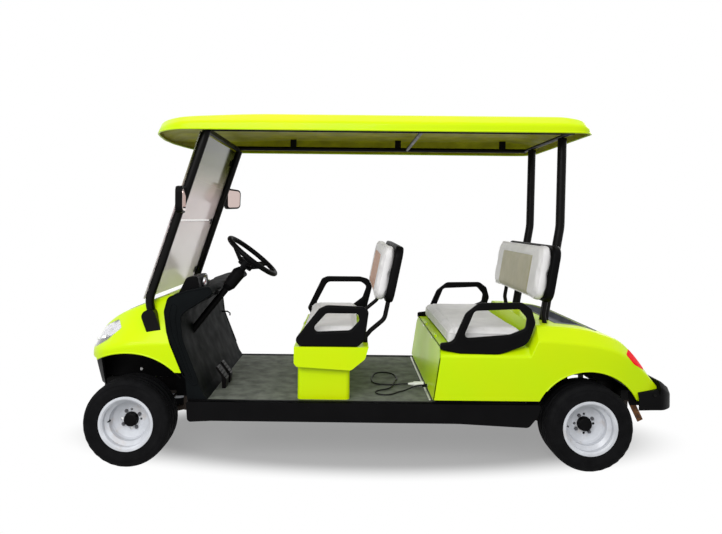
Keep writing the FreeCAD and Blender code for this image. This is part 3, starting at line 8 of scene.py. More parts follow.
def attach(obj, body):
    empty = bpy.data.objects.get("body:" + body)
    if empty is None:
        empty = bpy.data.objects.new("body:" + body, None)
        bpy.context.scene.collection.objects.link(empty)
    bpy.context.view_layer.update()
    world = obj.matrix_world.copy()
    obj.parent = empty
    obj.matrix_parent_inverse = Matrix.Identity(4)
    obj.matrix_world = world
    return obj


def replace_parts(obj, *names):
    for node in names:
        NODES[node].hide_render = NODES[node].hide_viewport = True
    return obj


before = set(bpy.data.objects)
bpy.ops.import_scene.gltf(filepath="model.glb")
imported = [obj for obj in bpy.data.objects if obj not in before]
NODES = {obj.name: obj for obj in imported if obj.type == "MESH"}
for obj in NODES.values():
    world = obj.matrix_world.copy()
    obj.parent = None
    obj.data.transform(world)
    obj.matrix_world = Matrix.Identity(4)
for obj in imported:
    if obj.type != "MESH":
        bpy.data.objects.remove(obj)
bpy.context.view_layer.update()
MM = 0.001

# Named sizes of the cart, in millimetres.
B, R = 580, 600   # half the width of the body and of the roof
ROOF_LOW = 1774
FRONT_X, REAR_X, AXLE_Z, WHEEL_Y = 1306, -1122, 229.5, 497.5
FRONT_ARCH, REAR_ARCH = 370, 298
SCREEN_LEAN, COLUMN_LEAN = 18.2, 38.4   # degrees
FOLD_Z = 1290
ARM_Y, ARM_DEPTH = 557, 34
LEAD_RADIUS, LEAD_Z = 4, 356.3   # and its middle where it lies on the floor


# ---- Materials

def shader(name, color, rough, **sockets):
    m = bpy.data.materials.new(name)
    m.use_nodes = True
    bsdf = m.node_tree.nodes["Principled BSDF"]
    bsdf.inputs["Base Color"].default_value = (*color, 1)
    bsdf.inputs["Roughness"].default_value = rough
    for key, value in sockets.items():
        bsdf.inputs[key.replace("_", " ")].default_value = value
    return m


def added(tree, kind, *sources, **values):
    """A new node. Sources feed its inputs in order; values set its sockets or its settings."""
    node = tree.nodes.new(kind)
    for key, value in values.items():
        if key.replace("_", " ") in node.inputs:
            node.inputs[key.replace("_", " ")].default_value = value
        else:
            setattr(node, key, value)
    for socket, source in zip(node.inputs, sources):
        tree.links.new(source, socket)
    return node


def texture(m, kind, scale, stretch=(1, 1, 1), output="Fac", **values):
    """The output of a texture in the object's own metres."""
    place = added(m.node_tree, "ShaderNodeTexCoord").outputs["Object"]
    mapping = added(m.node_tree, "ShaderNodeMapping", place, Scale=stretch)
    return added(m.node_tree, kind, mapping.outputs["Vector"], Scale=scale, **values).outputs[output]


def noise(m, scale, detail, stretch=(1, 1, 1), **values):
    return texture(m, "ShaderNodeTexNoise", scale, stretch, Detail=detail, **values)


def feed(m, source, socket):
    m.node_tree.links.new(source, m.node_tree.nodes["Principled BSDF"].inputs[socket])


def ramp(m, value, stops):
    node = m.node_tree.nodes.new("ShaderNodeValToRGB")
    while len(node.color_ramp.elements) < len(stops):
        node.color_ramp.elements.new(0.5)
    for element, (position, color) in zip(node.color_ramp.elements, stops):
        element.position = position
        element.color = (*color, 1)
    m.node_tree.links.new(value, node.inputs["Fac"])
    return node.outputs["Color"]


def varied(m, first, second, scale, detail=4):
    """Base colour wandering between two shades."""
    feed(m, ramp(m, noise(m, scale, detail), [(0.35, first), (0.65, second)]), "Base Color")


def worn(m, low, high, scale):
    """Roughness wandering between two values."""
    feed(m, ramp(m, noise(m, scale, 5), [(0.3, (low,) * 3), (0.7, (high,) * 3)]), "Roughness")


def bumped(m, *layers):
    """Each layer is a texture's output, its strength and its height in metres."""
    last = None
    for output, strength, height in layers:
        bump = added(m.node_tree, "ShaderNodeBump", Strength=strength, Distance=height)
        m.node_tree.links.new(output, bump.inputs["Height"])
        if last:
            m.node_tree.links.new(last, bump.inputs["Normal"])
        last = bump.outputs["Normal"]
    feed(m, last, "Normal")


def moulded(name, color, rough, grain, depth=0.00012, **sockets):
    m = shader(name, color, rough, **sockets)
    varied(m, [c * 0.8 for c in color], [c * 1.2 for c in color], 7)
    worn(m, rough - 0.08, rough + 0.08, 12)
    bumped(m, (noise(m, grain, 3), 0.5, depth))
    return m


def lime_paint():
    m = shader("lime_gloss", (0.57, 0.79, 0.0), 0.34, Coat_Weight=0.08, Coat_Roughness=0.08,
               Specular_IOR_Level=0.1)
    varied(m, (0.53, 0.8, 0.0), (0.61, 0.78, 0.0), 1.6, 2)
    worn(m, 0.3, 0.4, 5)
    bumped(m, (noise(m, 120, 2), 0.08, 0.0004))
    return m


def vinyl(name, color):
    """Grained vinyl: fine pebbles with wider creases."""
    m = shader(name, color, 0.46, Sheen_Weight=0.06, Specular_IOR_Level=0.4)
    varied(m, [c * 0.93 for c in color], [min(1, c * 1.04) for c in color], 9, 6)
    worn(m, 0.4, 0.54, 16)
    pebbles = texture(m, "ShaderNodeTexVoronoi", 520, output="Distance")
    bumped(m, (pebbles, 0.22, 0.0006), (noise(m, 26, 4), 0.35, 0.004))
    return m


def rubber(name, color, rough=0.82):
    m = shader(name, color, rough, Specular_IOR_Level=0.08)
    varied(m, [c * 0.75 for c in color], [c * 1.35 for c in color], 14, 6)
    worn(m, rough - 0.12, rough + 0.08, 22)
    bumped(m, (noise(m, 420, 4), 0.35, 0.0004))
    return m


def ribbed_floor():
    m = rubber("floor_ribs", (0.13, 0.14, 0.12), 0.7)
    ribs = texture(m, "ShaderNodeTexWave", 26, bands_direction="Y", wave_profile="SIN")
    bumped(m, (ribs, 0.5, 0.002), (noise(m, 300, 4), 0.3, 0.0004))
    return m


def painted_steel(name, color, rough, coat, **sockets):
    m = shader(name, color, rough, Coat_Weight=coat, Coat_Roughness=0.15, **sockets)
    varied(m, [c * 0.86 for c in color], [min(1, c * 1.08) for c in color], 10, 6)
    worn(m, rough - 0.06, rough + 0.12, 18)
    bumped(m, (noise(m, 160, 3), 0.12, 0.0005))
    return m


def dusty_white():
    """Wheel paint with brown road dust that clings in patches."""
    m = painted_steel("wheel_paint", (0.62, 0.64, 0.68), 0.34, 0.25)
    clean = m.node_tree.nodes["Principled BSDF"].inputs["Base Color"].links[0].from_socket
    amount = ramp(m, noise(m, 7, 8, Roughness=0.7), [(0.55, (0, 0, 0)), (0.78, (0.75, 0.75, 0.75))])
    mix = added(m.node_tree, "ShaderNodeMix", data_type="RGBA", B=(0.42, 0.33, 0.25, 1))
    m.node_tree.links.new(amount, mix.inputs["Factor"])
    m.node_tree.links.new(clean, mix.inputs["A"])
    feed(m, mix.outputs["Result"], "Base Color")
    return m


def rusted():
    m = shader("shackle_rust", (0.2, 0.075, 0.02), 0.75)
    varied(m, (0.08, 0.03, 0.012), (0.33, 0.13, 0.035), 38, 8)
    bumped(m, (noise(m, 220, 8), 0.6, 0.001))
    return m


def screen_film_with_painted_light():
    """Clear screen with a milky film, a painted pink reflection higher up and painted shade, dark olive like
    the roof's underside, towards its top.
    """
    m = shader("screen_clear", (0.9, 0.87, 0.84), 0.12, Transmission_Weight=0.55, IOR=1.45,
               Specular_IOR_Level=0.15)
    place = added(m.node_tree, "ShaderNodeTexCoord").outputs["Object"]
    height = added(m.node_tree, "ShaderNodeSeparateXYZ", place).outputs["Z"]
    reach = added(m.node_tree, "ShaderNodeMapRange", height, From_Min=0.88, From_Max=1.78)
    # the stops from 0.6 up are painted light: a pink reflection, then the shaded roof underside seen in the
    # glass
    film_and_painted_light = ramp(m, reach.outputs["Result"], [(0.0, (0.93, 0.89, 0.87)), (0.3, (0.92, 0.86, 0.85)),
                                             (0.6, (0.9, 0.78, 0.79)), (0.72, (0.55, 0.5, 0.4)),
                                             (0.84, (0.16, 0.17, 0.05)), (1.0, (0.1, 0.11, 0.02))])
    feed(m, film_and_painted_light, "Base Color")
    return m


LIME = lime_paint()
# painted shade: a darker olive copy of the lime paint for the roof's underside and inner faces, which lie in
# shade
ROOF_UNDERSIDE_PAINTED_SHADE = moulded("roof_underside_painted_shade", (0.36, 0.36, 0.004), 0.55, 300, Specular_IOR_Level=0.15)
PLASTIC = moulded("black_moulded", (0.0026, 0.0025, 0.0028), 0.48, 700, Specular_IOR_Level=0.05)
DASH = moulded("dash_moulded", (0.004, 0.005, 0.0055), 0.6, 500, 0.0001, Specular_IOR_Level=0.03)
GREY = moulded("grey_moulded", (0.15, 0.16, 0.19), 0.5, 500)
WHITE_PLASTIC = moulded("white_moulded", (0.78, 0.78, 0.76), 0.38, 400, 0.00005)
STEEL_BLACK = painted_steel("black_paint", (0.003, 0.0026, 0.0026), 0.36, 0.03, Specular_IOR_Level=0.08)
CAST = painted_steel("cast_black_paint", (0.01, 0.0095, 0.0095), 0.62, 0.03, Specular_IOR_Level=0.2)
SPRING = painted_steel("spring_paint", (0.03, 0.021, 0.016), 0.6, 0.03, Specular_IOR_Level=0.25)
NUT_DARK = painted_steel("nut_dark", (0.085, 0.085, 0.095), 0.4, 0.1)
BRIGHT = shader("bright_steel", (0.62, 0.62, 0.64), 0.24, Metallic=1.0)
worn(BRIGHT, 0.16, 0.34, 60)
STRIP = shader("brushed_strip", (0.66, 0.66, 0.62), 0.35, Metallic=0.8)
bumped(STRIP, (noise(STRIP, 60, 3, (40, 1, 40)), 0.3, 0.0003))
CHROME = shader("lamp_reflector", (0.9, 0.9, 0.92), 0.1, Metallic=1.0)
MIRROR = shader("mirror_silver", (0.62, 0.5, 0.47), 0.05, Metallic=1.0)
TYRE = rubber("tyre_rubber", (0.004, 0.004, 0.0045))
WHEEL_WHITE = dusty_white()
FLOOR_RUBBER = ribbed_floor()
RUST = rusted()
CREAM = vinyl("vinyl_cream", (0.74, 0.73, 0.73))
# front panels of the seat backs: beige insets with painted light in their colour; the front one's
# orange-brown is a painted reflection, the rear one's dark olive is painted shade with green light from the
# roof
TAN_PAINTED_REFLECTION = vinyl("vinyl_tan_painted_reflection", (0.44, 0.17, 0.045))
OLIVE_PAINTED_SHADE = vinyl("vinyl_olive_painted_shade", (0.4, 0.37, 0.24))
SCREEN = screen_film_with_painted_light()
LENS = shader("lens_clear", (0.97, 0.97, 0.99), 0.03, Transmission_Weight=0.95, IOR=1.45)
bumped(LENS, (texture(LENS, "ShaderNodeTexWave", 18, bands_direction="Z"), 0.12, 0.002))
# the emission is a faint painted glow that brightens the red of the tail lenses and the dial needle
RED_PAINTED_GLOW = shader("lens_red_painted_glow", (0.72, 0.0, 0.006), 0.4, Specular_IOR_Level=0.03, Emission_Color=(1, 0.0, 0.01, 1),
             Emission_Strength=0.12)
bumped(RED_PAINTED_GLOW, (texture(RED_PAINTED_GLOW, "ShaderNodeTexChecker", 90), 0.12, 0.001))
LEAD = moulded("lead_sheath", (0.008, 0.008, 0.009), 0.55, 500, Specular_IOR_Level=0.2)
DIAL = shader("dial_white", (0.75, 0.76, 0.74), 0.4)
BATTERY = moulded("battery_case", (0.05, 0.052, 0.06), 0.5, 500)


def paint(material, *names):
    for name in names:
        mesh = NODES[name].data
        mesh.materials.clear()
        mesh.materials.append(material)


paint(STEEL_BLACK, "chassis_frame", "front_struts", "roof_frame", "rear_struts", "back_supports",
      "front_axle", "pedals")
paint(PLASTIC, "side_sills", "front_valance", "wheel_liners", "rear_liners", "wing_mirrors",
      "seat_back_shells", "steering_column", "steering_wheel", "lead_gland", "instrument_pod")
paint(DASH, "dashboard")
paint(FLOOR_RUBBER, "floor_pan")
paint(LIME, "front_seat_box")
paint(GREY, "deck_tray")
paint(MIRROR, "mirror_glass")
paint(SCREEN, "windscreen")
paint(BATTERY, "battery_block")
paint(CAST, "rear_axle", "knuckle_left", "knuckle_right")
paint(SPRING, "suspension", "tie_rod")
paint(WHITE_PLASTIC, "lead_plug")
paint(WHEEL_WHITE, "rim_front_left", "rim_front_right", "rim_rear_left", "rim_rear_right")


# ---- Mesh helpers

def settled(obj, material, body="cart", angle=35):
    """A material, smooth shading with sharp edges over an angle, and the body it rides on."""
    mesh = obj.data
    mesh.materials.clear()
    mesh.materials.append(material)
    mesh.shade_smooth()
    mesh.set_sharp_from_angle(angle=math.radians(angle))
    if body:
        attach(obj, body)
    return obj


def placed(spot, degrees=0, axis="Y"):
    """The matrix for a point in millimetres and a turn about one axis."""
    return Matrix.Translation(Vector(spot) * MM) @ Matrix.Rotation(math.radians(degrees), 4, axis)


def linked(name, data):
    """A new object in the scene."""
    obj = bpy.data.objects.new(name, data)
    bpy.context.scene.collection.objects.link(obj)
    return obj


def raw(name, points, faces):
    mesh = bpy.data.meshes.new(name)
    mesh.from_pydata([tuple(p) for p in points], [], faces)
    mesh.update()
    return linked(name, mesh)


def band(a, b, n, closed=True):
    """The faces between two rows of n points, which start at a and at b."""
    return [[a + i, a + (i + 1) % n, b + (i + 1) % n, b + i] for i in range(n if closed else n - 1)]


def walled(count, n, closed):
    """The faces of an open shell: count rows of n points, then the same rows of its inner face.

    closed says whether its first and its last row have a wall.
    """
    inner = count * n
    faces = []
    for a in range(0, inner - n, n):
        for quad in band(a, a + n, n, False):
            faces += [quad, [inner + i for i in reversed(quad)]]
        faces += [[i, i + n, inner + i + n, inner + i] for i in (a, a + n - 1)]
    for a, wall in ((0, closed[0]), (inner - n, closed[1])):
        if wall:
            faces += [list(range(a, a + n)), list(range(inner + a, inner + a + n)),
                      [a, a + n - 1, inner + a + n - 1, inner + a]]
        else:
            faces += band(a, inner + a, n, False)
    return faces


def baked(obj):
    """Applies the object's modifiers, or turns a curve into a mesh object."""
    mesh = bpy.data.meshes.new_from_object(obj.evaluated_get(bpy.context.evaluated_depsgraph_get()))
    if obj.type == "MESH":
        old = obj.data
        obj.modifiers.clear()
        obj.data = mesh
        bpy.data.meshes.remove(old)
        return obj
    name, matrix = obj.name, obj.matrix_world.copy()
    bpy.data.objects.remove(obj)
    result = linked(name, mesh)
    result.matrix_world = matrix
    return result


def modified(obj, kind, **values):
    modifier = obj.modifiers.new(kind, kind)
    for key, value in values.items():
        setattr(modifier, key, value)
    return baked(obj)


def boolean(obj, operation, *others):
    for other in others:
        modified(obj, "BOOLEAN", operation=operation, object=other, solver="EXACT")
        bpy.data.objects.remove(other)
    return obj


def merged(name, *objs):
    """One object from several, in world coordinates."""
    points, faces, slots, materials = [], [], [], []
    for obj in objs:
        base, matrix = len(points), obj.matrix_world
        points += [matrix @ v.co for v in obj.data.vertices]
        materials += [m for m in obj.data.materials if m not in materials]
        own = [materials.index(m) for m in obj.data.materials]
        for poly in obj.data.polygons:
            faces.append([base + i for i in poly.vertices])
            slots.append(own[poly.material_index] if own else 0)
        bpy.data.objects.remove(obj)
    result = raw(name, points, faces)
    for m in materials:
        result.data.materials.append(m)
    if materials:
        result.data.polygons.foreach_set("material_index", slots)
    return result


def rounded(rows, steps):
    """A closed outline with round corners: each row is two coordinates and a radius."""
    out = []
    for i, row in enumerate(rows):
        p = Vector(row[:2])
        a, b = Vector(rows[i - 1][:2]) - p, Vector(rows[(i + 1) % len(rows)][:2]) - p
        if len(row) < 3 or row[2] <= 0:
            out.append(p)
            continue
        half = a.angle(b) / 2
        reach = min(row[2] / math.tan(half), 0.49 * a.length, 0.49 * b.length)
        a.normalize()
        b.normalize()
        radius = reach * math.tan(half)
        centre = p + (a + b).normalized() * (radius / math.sin(half))
        start, end = p + a * reach - centre, p + b * reach - centre
        turn = math.atan2(start.x * end.y - start.y * end.x, start.dot(end))
        for k in range(steps + 1):
            t = turn * k / steps
            out.append(centre + Vector((start.x * math.cos(t) - start.y * math.sin(t),
                                        start.x * math.sin(t) + start.y * math.cos(t))))
    return out


def prism(name, rows, low, high, axis="Y", steps=5):
    """An outline in millimetres between two planes: rows of x and z, y and z (axis X) or x and y (axis Z)."""
    loop = rounded(rows, steps)
    n = len(loop)
    points = []
    for side in (low, high):
        for p in loop:
            spot = {"X": (side, p.x, p.y), "Y": (p.x, side, p.y), "Z": (p.x, p.y, side)}[axis]
            points.append(Vector(spot) * MM)
    return outward(raw(name, points, band(0, n, n) + [list(range(n))[::-1], list(range(n, 2 * n))]))


def outward(obj):
    bm = bmesh.new()
    bm.from_mesh(obj.data)
    bmesh.ops.recalc_face_normals(bm, faces=bm.faces)
    bm.to_mesh(obj.data)
    bm.free()
    return obj


def turned(name, rows, steps, matrix, closed=False):
    """(radius, height) rows in millimetres turned about Z and carried by matrix; closed makes a ring."""
    points, rings, faces = [], [], []
    for r, h in rows:
        count = 1 if r == 0 else steps
        first = len(points)
        rings.append([first + k % count for k in range(steps + 1)])
        for k in range(count):
            a = math.tau * k / steps
            points.append(matrix @ Vector((r * MM * math.cos(a), r * MM * math.sin(a), h * MM)))
    for i in range(len(rows) if closed else len(rows) - 1):
        a, b = rings[i], rings[(i + 1) % len(rows)]
        for k in range(steps):
            corners = list(dict.fromkeys((a[k], b[k], b[k + 1], a[k + 1])))
            if len(corners) > 2:
                faces.append(corners)
    return outward(raw(name, points, faces))


def bevelled(obj, width, segments=3):
    """Rounds the edges that turn by more than 30 degrees."""
    bm = bmesh.new()
    bm.from_mesh(obj.data)
    sharp = [e for e in bm.edges if e.is_manifold and e.calc_face_angle() > math.radians(30)]
    bmesh.ops.bevel(bm, geom=sharp, offset=width * MM, segments=segments, profile=0.5, affect="EDGES",
                    clamp_overlap=True)
    bm.to_mesh(obj.data)
    bm.free()
    return obj


def tube(name, dots, radius, cyclic=False, sides=8):
    """A round bead along points in millimetres."""
    dots = [Vector(p) for p in dots]
    n = len(dots)
    points, faces, normal = [], [], None
    for i, spot in enumerate(dots):
        before = dots[i - 1] if cyclic or i else spot
        after = dots[(i + 1) % n] if cyclic or i < n - 1 else spot
        along = (after - before).normalized()
        normal = normal or along.orthogonal()
        normal = (normal - along * normal.dot(along)).normalized()
        other = along.cross(normal)
        for k in range(sides):
            a = math.tau * k / sides
            points.append((spot + (normal * math.cos(a) + other * math.sin(a)) * radius) * MM)
    for i in range(n if cyclic else n - 1):
        faces += band(i * sides, (i + 1) % n * sides, sides)
    if not cyclic:
        faces += [list(range(sides))[::-1], list(range(len(points) - sides, len(points)))]
    return outward(raw(name, points, faces))


def spread(path, gap):
    """A closed path with points about a gap apart."""
    dense = []
    for a, b in zip(path, path[1:] + path[:1]):
        count = max(1, int((b - a).length / gap))
        dense += [a.lerp(b, k / count) for k in range(count)]
    return dense


def bead(name, points, radius, material, cyclic=False, body="cart", sides=8):
    return settled(tube(name, points, radius, cyclic, sides), material, body, 60)


def arm_loop(loops, y):
    """A flat moulding with soft edges: outline and window in x and z, middle at y, in millimetres."""
    edge = 10
    curve = bpy.data.curves.new("arm", "CURVE")
    curve.dimensions = "2D"
    curve.fill_mode = "BOTH"
    for rows in loops:
        loop = rounded(rows, 7)
        line = curve.splines.new("POLY")
        line.points.add(len(loop) - 1)
        for dot, p in zip(line.points, loop):
            dot.co = (p.x * MM, p.y * MM, 0, 1)
        line.use_cyclic_u = True
    curve.extrude = (ARM_DEPTH / 2 - edge) * MM
    curve.bevel_depth = edge * MM
    curve.bevel_resolution = 4
    curve.offset = -edge * MM
    obj = linked("arm", curve)
    obj.matrix_world = placed((0, y, 0), 90, "X")
    bpy.context.view_layer.update()
    return baked(obj)


def smooth_between(xs, ys, x):
    """A monotone curve through the points, so a form never swells past its stations."""
    if x <= xs[0]:
        return ys[0]
    if x >= xs[-1]:
        return ys[-1]
    steps = [(ys[i + 1] - ys[i]) / (xs[i + 1] - xs[i]) for i in range(len(xs) - 1)]
    means = [0 if a * b <= 0 else 2 * a * b / (a + b) for a, b in zip(steps, steps[1:])]
    slopes = [steps[0]] + means + [steps[-1]]
    i = max(k for k in range(len(xs) - 1) if xs[k] <= x)
    h = xs[i + 1] - xs[i]
    t = (x - xs[i]) / h
    return (ys[i] * (1 + 2 * t) * (1 - t) ** 2 + h * slopes[i] * t * (1 - t) ** 2
            + ys[i + 1] * t * t * (3 - 2 * t) + h * slopes[i + 1] * t * t * (t - 1))


class Form:
    """A body form through stations of x, half width, waist, crown half width, top and corner radius.

    closed says whether its lower and its higher end in x have a wall. soft scales the corner radii, step is
    the longest face along x and tops is how many faces cross half the crown.
    """

    def __init__(self, stations, low, closed, soft, step, tops):
        self.rows = sorted(stations)
        self.low = low
        self.xs = [row[0] for row in self.rows]
        self.closed = closed
        self.soft, self.step, self.tops = soft, step, tops

    def at(self, x, column):
        return smooth_between(self.xs, [row[column] for row in self.rows], x)

    def ring(self, x, inset):
        half, waist, crown, top, turn = (self.at(x, c) for c in range(1, 6))
        turn *= self.soft
        half, crown, waist, top = half - inset, crown - 0.8 * inset, waist - 0.3 * inset, top - inset
        side = rounded([(half, self.low), (half, waist, turn), (crown, top, turn), (0, top)], 6)
        points = [side[0].lerp(side[1], t) for t in (0, 0.33, 0.66)] + side[1:8]
        points += [side[7].lerp(side[8], t) for t in (0.33, 0.66)] + side[8:15]
        points += [side[14].lerp(side[15], k / self.tops) for k in range(1, self.tops + 1)]
        return points + [Vector((-p.x, p.y)) for p in reversed(points[:-1])]

    def stations(self, span):
        xs = []
        for a, b in zip(self.xs, self.xs[1:]):
            count = max(2, math.ceil((b - a) / self.step))
            xs += [a + (b - a) * k / count for k in range(count)]
        xs.append(self.xs[-1])
        if span:
            xs = [span[0]] + [x for x in xs if span[0] < x < span[1]] + [span[1]]
        return xs

    def skin(self, xs, inset, wave=None):
        points = []
        for x in xs:
            shift = inset * ((x == self.xs[0]) * self.closed[0] - (x == self.xs[-1]) * self.closed[1])
            for p in self.ring(x, inset):
                drop = wave(x, p.x, p.y) if wave else 0
                points.append(((x + shift) * MM, p.x * MM, (p.y - drop) * MM))
        return points

    def solid(self, name, inset, span):
        xs = self.stations(span)
        points = self.skin(xs, inset)
        last = len(points) - len(points) // len(xs)
        n = len(points) - last
        faces = [face for a in range(0, last, n) for face in band(a, a + n, n)]
        faces += [list(range(n)), list(range(last, last + n))[::-1]]
        return outward(raw(name, points, faces))

    def shell(self, name, wall, depth=0, wave=None, span=None):
        """The form's skin with a wall, open underneath; depth sinks its outer face."""
        xs = self.stations(span)
        points = self.skin(xs, depth, wave)
        faces = walled(len(xs), len(points) // len(xs), self.closed)
        return outward(raw(name, points + self.skin(xs, depth + wall, wave), faces))


def paired(name, rows, near, far):
    """The same prism on both sides of the cart, as one object."""
    return merged(name, prism("half", rows, near, far), prism("half", rows, -far, -near))


COWL = Form([
    (1000, B, 650, B - 110, 905, 24), (1130, B, 650, B - 118, 888, 24), (1300, B, 645, B - 140, 825, 24),
    (1410, B - 20, 625, B - 190, 775, 24), (1500, B - 84, 600, B - 262, 716, 24),
    (1572, B - 230, 585, B - 380, 655, 20), (1615, B - 400, 574, B - 470, 606, 12),
], low=480, closed=(False, True), soft=2.2, step=24, tops=10)
REAR = Form([
    (-296, B, 598, B - 48, 640, 12), (-812, B, 598, B - 48, 640, 12), (-851, B, 680, B - 50, 757, 20),
    (-1093, B, 664, B - 60, 742, 20), (-1226, B - 4, 640, B - 70, 707, 20),
    (-1299, B - 12, 610, B - 80, 678, 20), (-1370, B - 26, 560, B - 94, 618, 16),
    (-1450, B - 44, 490, B - 108, 520, 10), (-1498, B - 58, 440, B - 118, 452, 5),
], low=360, closed=(True, False), soft=1.7, step=20, tops=8)
BUMPER = Form([
    (-1385, B - 12, 382, B - 24, 414, 8), (-1499, B - 20, 396, B - 34, 426, 8),
    (-1503, B - 20, 436, B - 42, 470, 10), (-1560, B - 56, 404, B - 84, 436, 10),
    (-1600, B - 120, 384, B - 150, 410, 10), (-1615, B - 190, 364, B - 220, 384, 8),
], low=322, closed=(True, False), soft=1.8, step=16, tops=8)
ROOF = Form([
    (1262, R - 520, 1782, R - 540, 1796, 4), (1245, R - 380, 1786, R - 410, 1810, 8),
    (1215, R - 225, 1790, R - 270, 1824, 12), (1160, R - 108, 1796, R - 156, 1836, 16),
    (1100, R - 44, 1804, R - 92, 1842, 20), (1030, R - 6, 1810, R - 54, 1847, 22),
    (950, R, 1814, R - 48, 1852, 22), (560, R, 1818, R - 48, 1865, 24),
    (-950, R, 1818, R - 48, 1865, 24), (-1060, R - 8, 1812, R - 56, 1853, 22),
    (-1112, R - 36, 1800, R - 84, 1833, 16), (-1138, R - 84, 1788, R - 120, 1810, 8),
], low=ROOF_LOW, closed=(True, True), soft=1.4, step=30, tops=34)
LAMP = [(1366, 716, 10), (1404, 752, 14), (1500, 706, 30), (1590, 640, 14), (1588, 596, 10), (1530, 600, 30),
        (1440, 652, 30)]
REAR_LAMP = [(-1322, 612, 8), (-1362, 630, 12), (-1412, 604, 12), (-1452, 536, 8), (-1428, 526, 8),
             (-1362, 562, 20)]


def wheel_space(radius, x):
    """A drum right across the cart about a wheel's axle."""
    rows = [(0, 0), (radius, 0), (radius, 1220), (0, 1220)]
    return turned("wheel_space", rows, 96, placed((x, 610, AXLE_Z), 90, "X"))


def arch_lip(name, form, x, radius, start, end):
    """The rolled edge of a wheel arch, from one angle to the other, on both sides."""
    path = []
    for k in range(41):
        a = math.radians(start + (end - start) * k / 40)
        px = x + radius * math.cos(a)
        path.append((px, form.at(px, 1) - 3, AXLE_Z + radius * math.sin(a)))
    return merged(name, tube(name, path, 5), tube(name, [(px, -y, z) for px, y, z in path], 5))


# ---- Body panels

def roof_panels(x, y, z):
    """Shallow pressed channels in the roof's crown."""
    if z < 1836:
        return 0
    drop = 0
    for edge in (150, 430):
        drop += 5 * math.exp(-((abs(y) - edge) / 16) ** 2)
    fade = min(1, max(0, (900 - abs(x + 20)) / 90))
    return drop * fade


def make_roof():
    shell = settled(ROOF.shell("roof_skin", 6, wave=roof_panels), LIME)
    shell.data.materials.append(ROOF_UNDERSIDE_PAINTED_SHADE)
    # faces that look down or inward take the painted shade
    for face in shell.data.polygons:
        inward = face.normal.z < 0.6 and face.normal.xy.dot(face.center.xy) < 0
        face.material_index = 1 if face.normal.z < -0.2 or inward else 0
    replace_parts(shell, "roof_shell")
    xs = [-1136 + 2396 * k / 120 for k in range(121)]
    edge = [(x, ROOF.at(x, 1) - 3, ROOF_LOW + 4) for x in xs]
    edge += [(x, -y, z) for x, y, z in reversed(edge)]
    bead("roof_edge", edge, 5.5, LIME, cyclic=True)


def make_cowl():
    shell = COWL.shell("cowl_skin", 5)
    boolean(shell, "INTERSECT", prism("cowl_trim", [
        (1023, 498), (1320, 498), (1320, 554), (1625, 554), (1625, 930), (1078, 930), (1106, 885, 30),
        (1125, 814, 40), (1109, 704, 90)], -600, 600, steps=10))
    boolean(shell, "DIFFERENCE", wheel_space(FRONT_ARCH, FRONT_X), paired("lamp_holes", LAMP, 292, 600))
    settled(shell, LIME)
    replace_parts(shell, "front_cowl")
    settled(arch_lip("cowl_arch_lip", COWL, FRONT_X, FRONT_ARCH, 60, 133), LIME)
    for side in (1, -1):
        path = [(x, side * (COWL.at(x, 3) - 70 - (x - 1140) * 0.08), COWL.at(x, 4) + 0.3)
                for x in range(1140, 1585, 20)]
        bead("hood_seam", path, 1.6, PLASTIC, sides=6)


def make_headlamps():
    reach = (1362, 1596)
    lens = COWL.shell("headlamp_lens", 4, span=reach)
    boolean(lens, "INTERSECT", paired("lens_cut", LAMP, 293, 600))
    settled(lens, LENS)
    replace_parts(lens, "headlamps")
    bowls = COWL.solid("headlamp_bowls", 7, reach)
    boolean(bowls, "INTERSECT", paired("bowl_cut", LAMP, 293, 600))
    lamps = [(x, side * y, z, r) for x, y, z, r in ((1452, 440, 655, 60), (1530, 352, 622, 46))
             for side in (1, -1)]
    balls, bulbs = [], []
    for x, y, z, r in lamps:
        arc = [(r * math.cos(math.radians(a)), r * math.sin(math.radians(a))) for a in range(-80, 81, 10)]
        balls.append(turned("ball", [(0, -r)] + arc + [(0, r)], 28,
                            placed((x + 22, y + math.copysign(26, y), z + 16))))
        bulbs.append(turned("bulb", [(0, -6), (8, -6), (9, 8), (7, 20), (4, 25), (0, 27)], 16,
                            placed((x, y, z), 60)))
    boolean(bowls, "DIFFERENCE", merged("balls", *balls))
    settled(bowls, CHROME)
    settled(merged("headlamp_bulbs", *bulbs), DIAL)


def make_valance():
    """The dark apron under the nose, which draws back as it goes down."""
    top, fall, half = 554, 174, 396
    plan = rounded([(1514, -half), (1574, -330, 60), (1592, -200, 120), (1592, 200, 120), (1574, 330, 60),
                    (1514, half)], 8)
    heights = [top - fall * k / 8 for k in range(9)]
    points = []
    for wall in (0, 8):
        for z in heights:
            # the ends draw back less and in more, clear of the steered tyres
            drop = (top - z) / fall
            narrow = 1 - 0.09 * drop - wall / 420
            for p in plan:
                back = 52 * drop ** 1.3 * (1 - 0.75 * abs(p.y / half) ** 3) + wall
                points.append(Vector((p.x - back, p.y * narrow, z)) * MM)
    faces = walled(len(heights), len(plan), (False, False))
    apron = settled(outward(raw("nose_apron", points, faces)), PLASTIC)
    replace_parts(apron, "front_valance")
    wall = [(1556, 553), (1530, 470), (1490, 400, 30), (1130, 400, 30), (1130, 290), (1046, 290), (1046, 553)]
    for side, tag in ((1, "left"), (-1, "right")):
        panel = prism("wheel_house_" + tag, wall, *sorted((side * 255, side * 261)))
        settled(panel, PLASTIC)
        stud("liner_clip_" + tag, (1331, side * 261, 443), (0, side, 0), 10, 9, WHITE_PLASTIC)


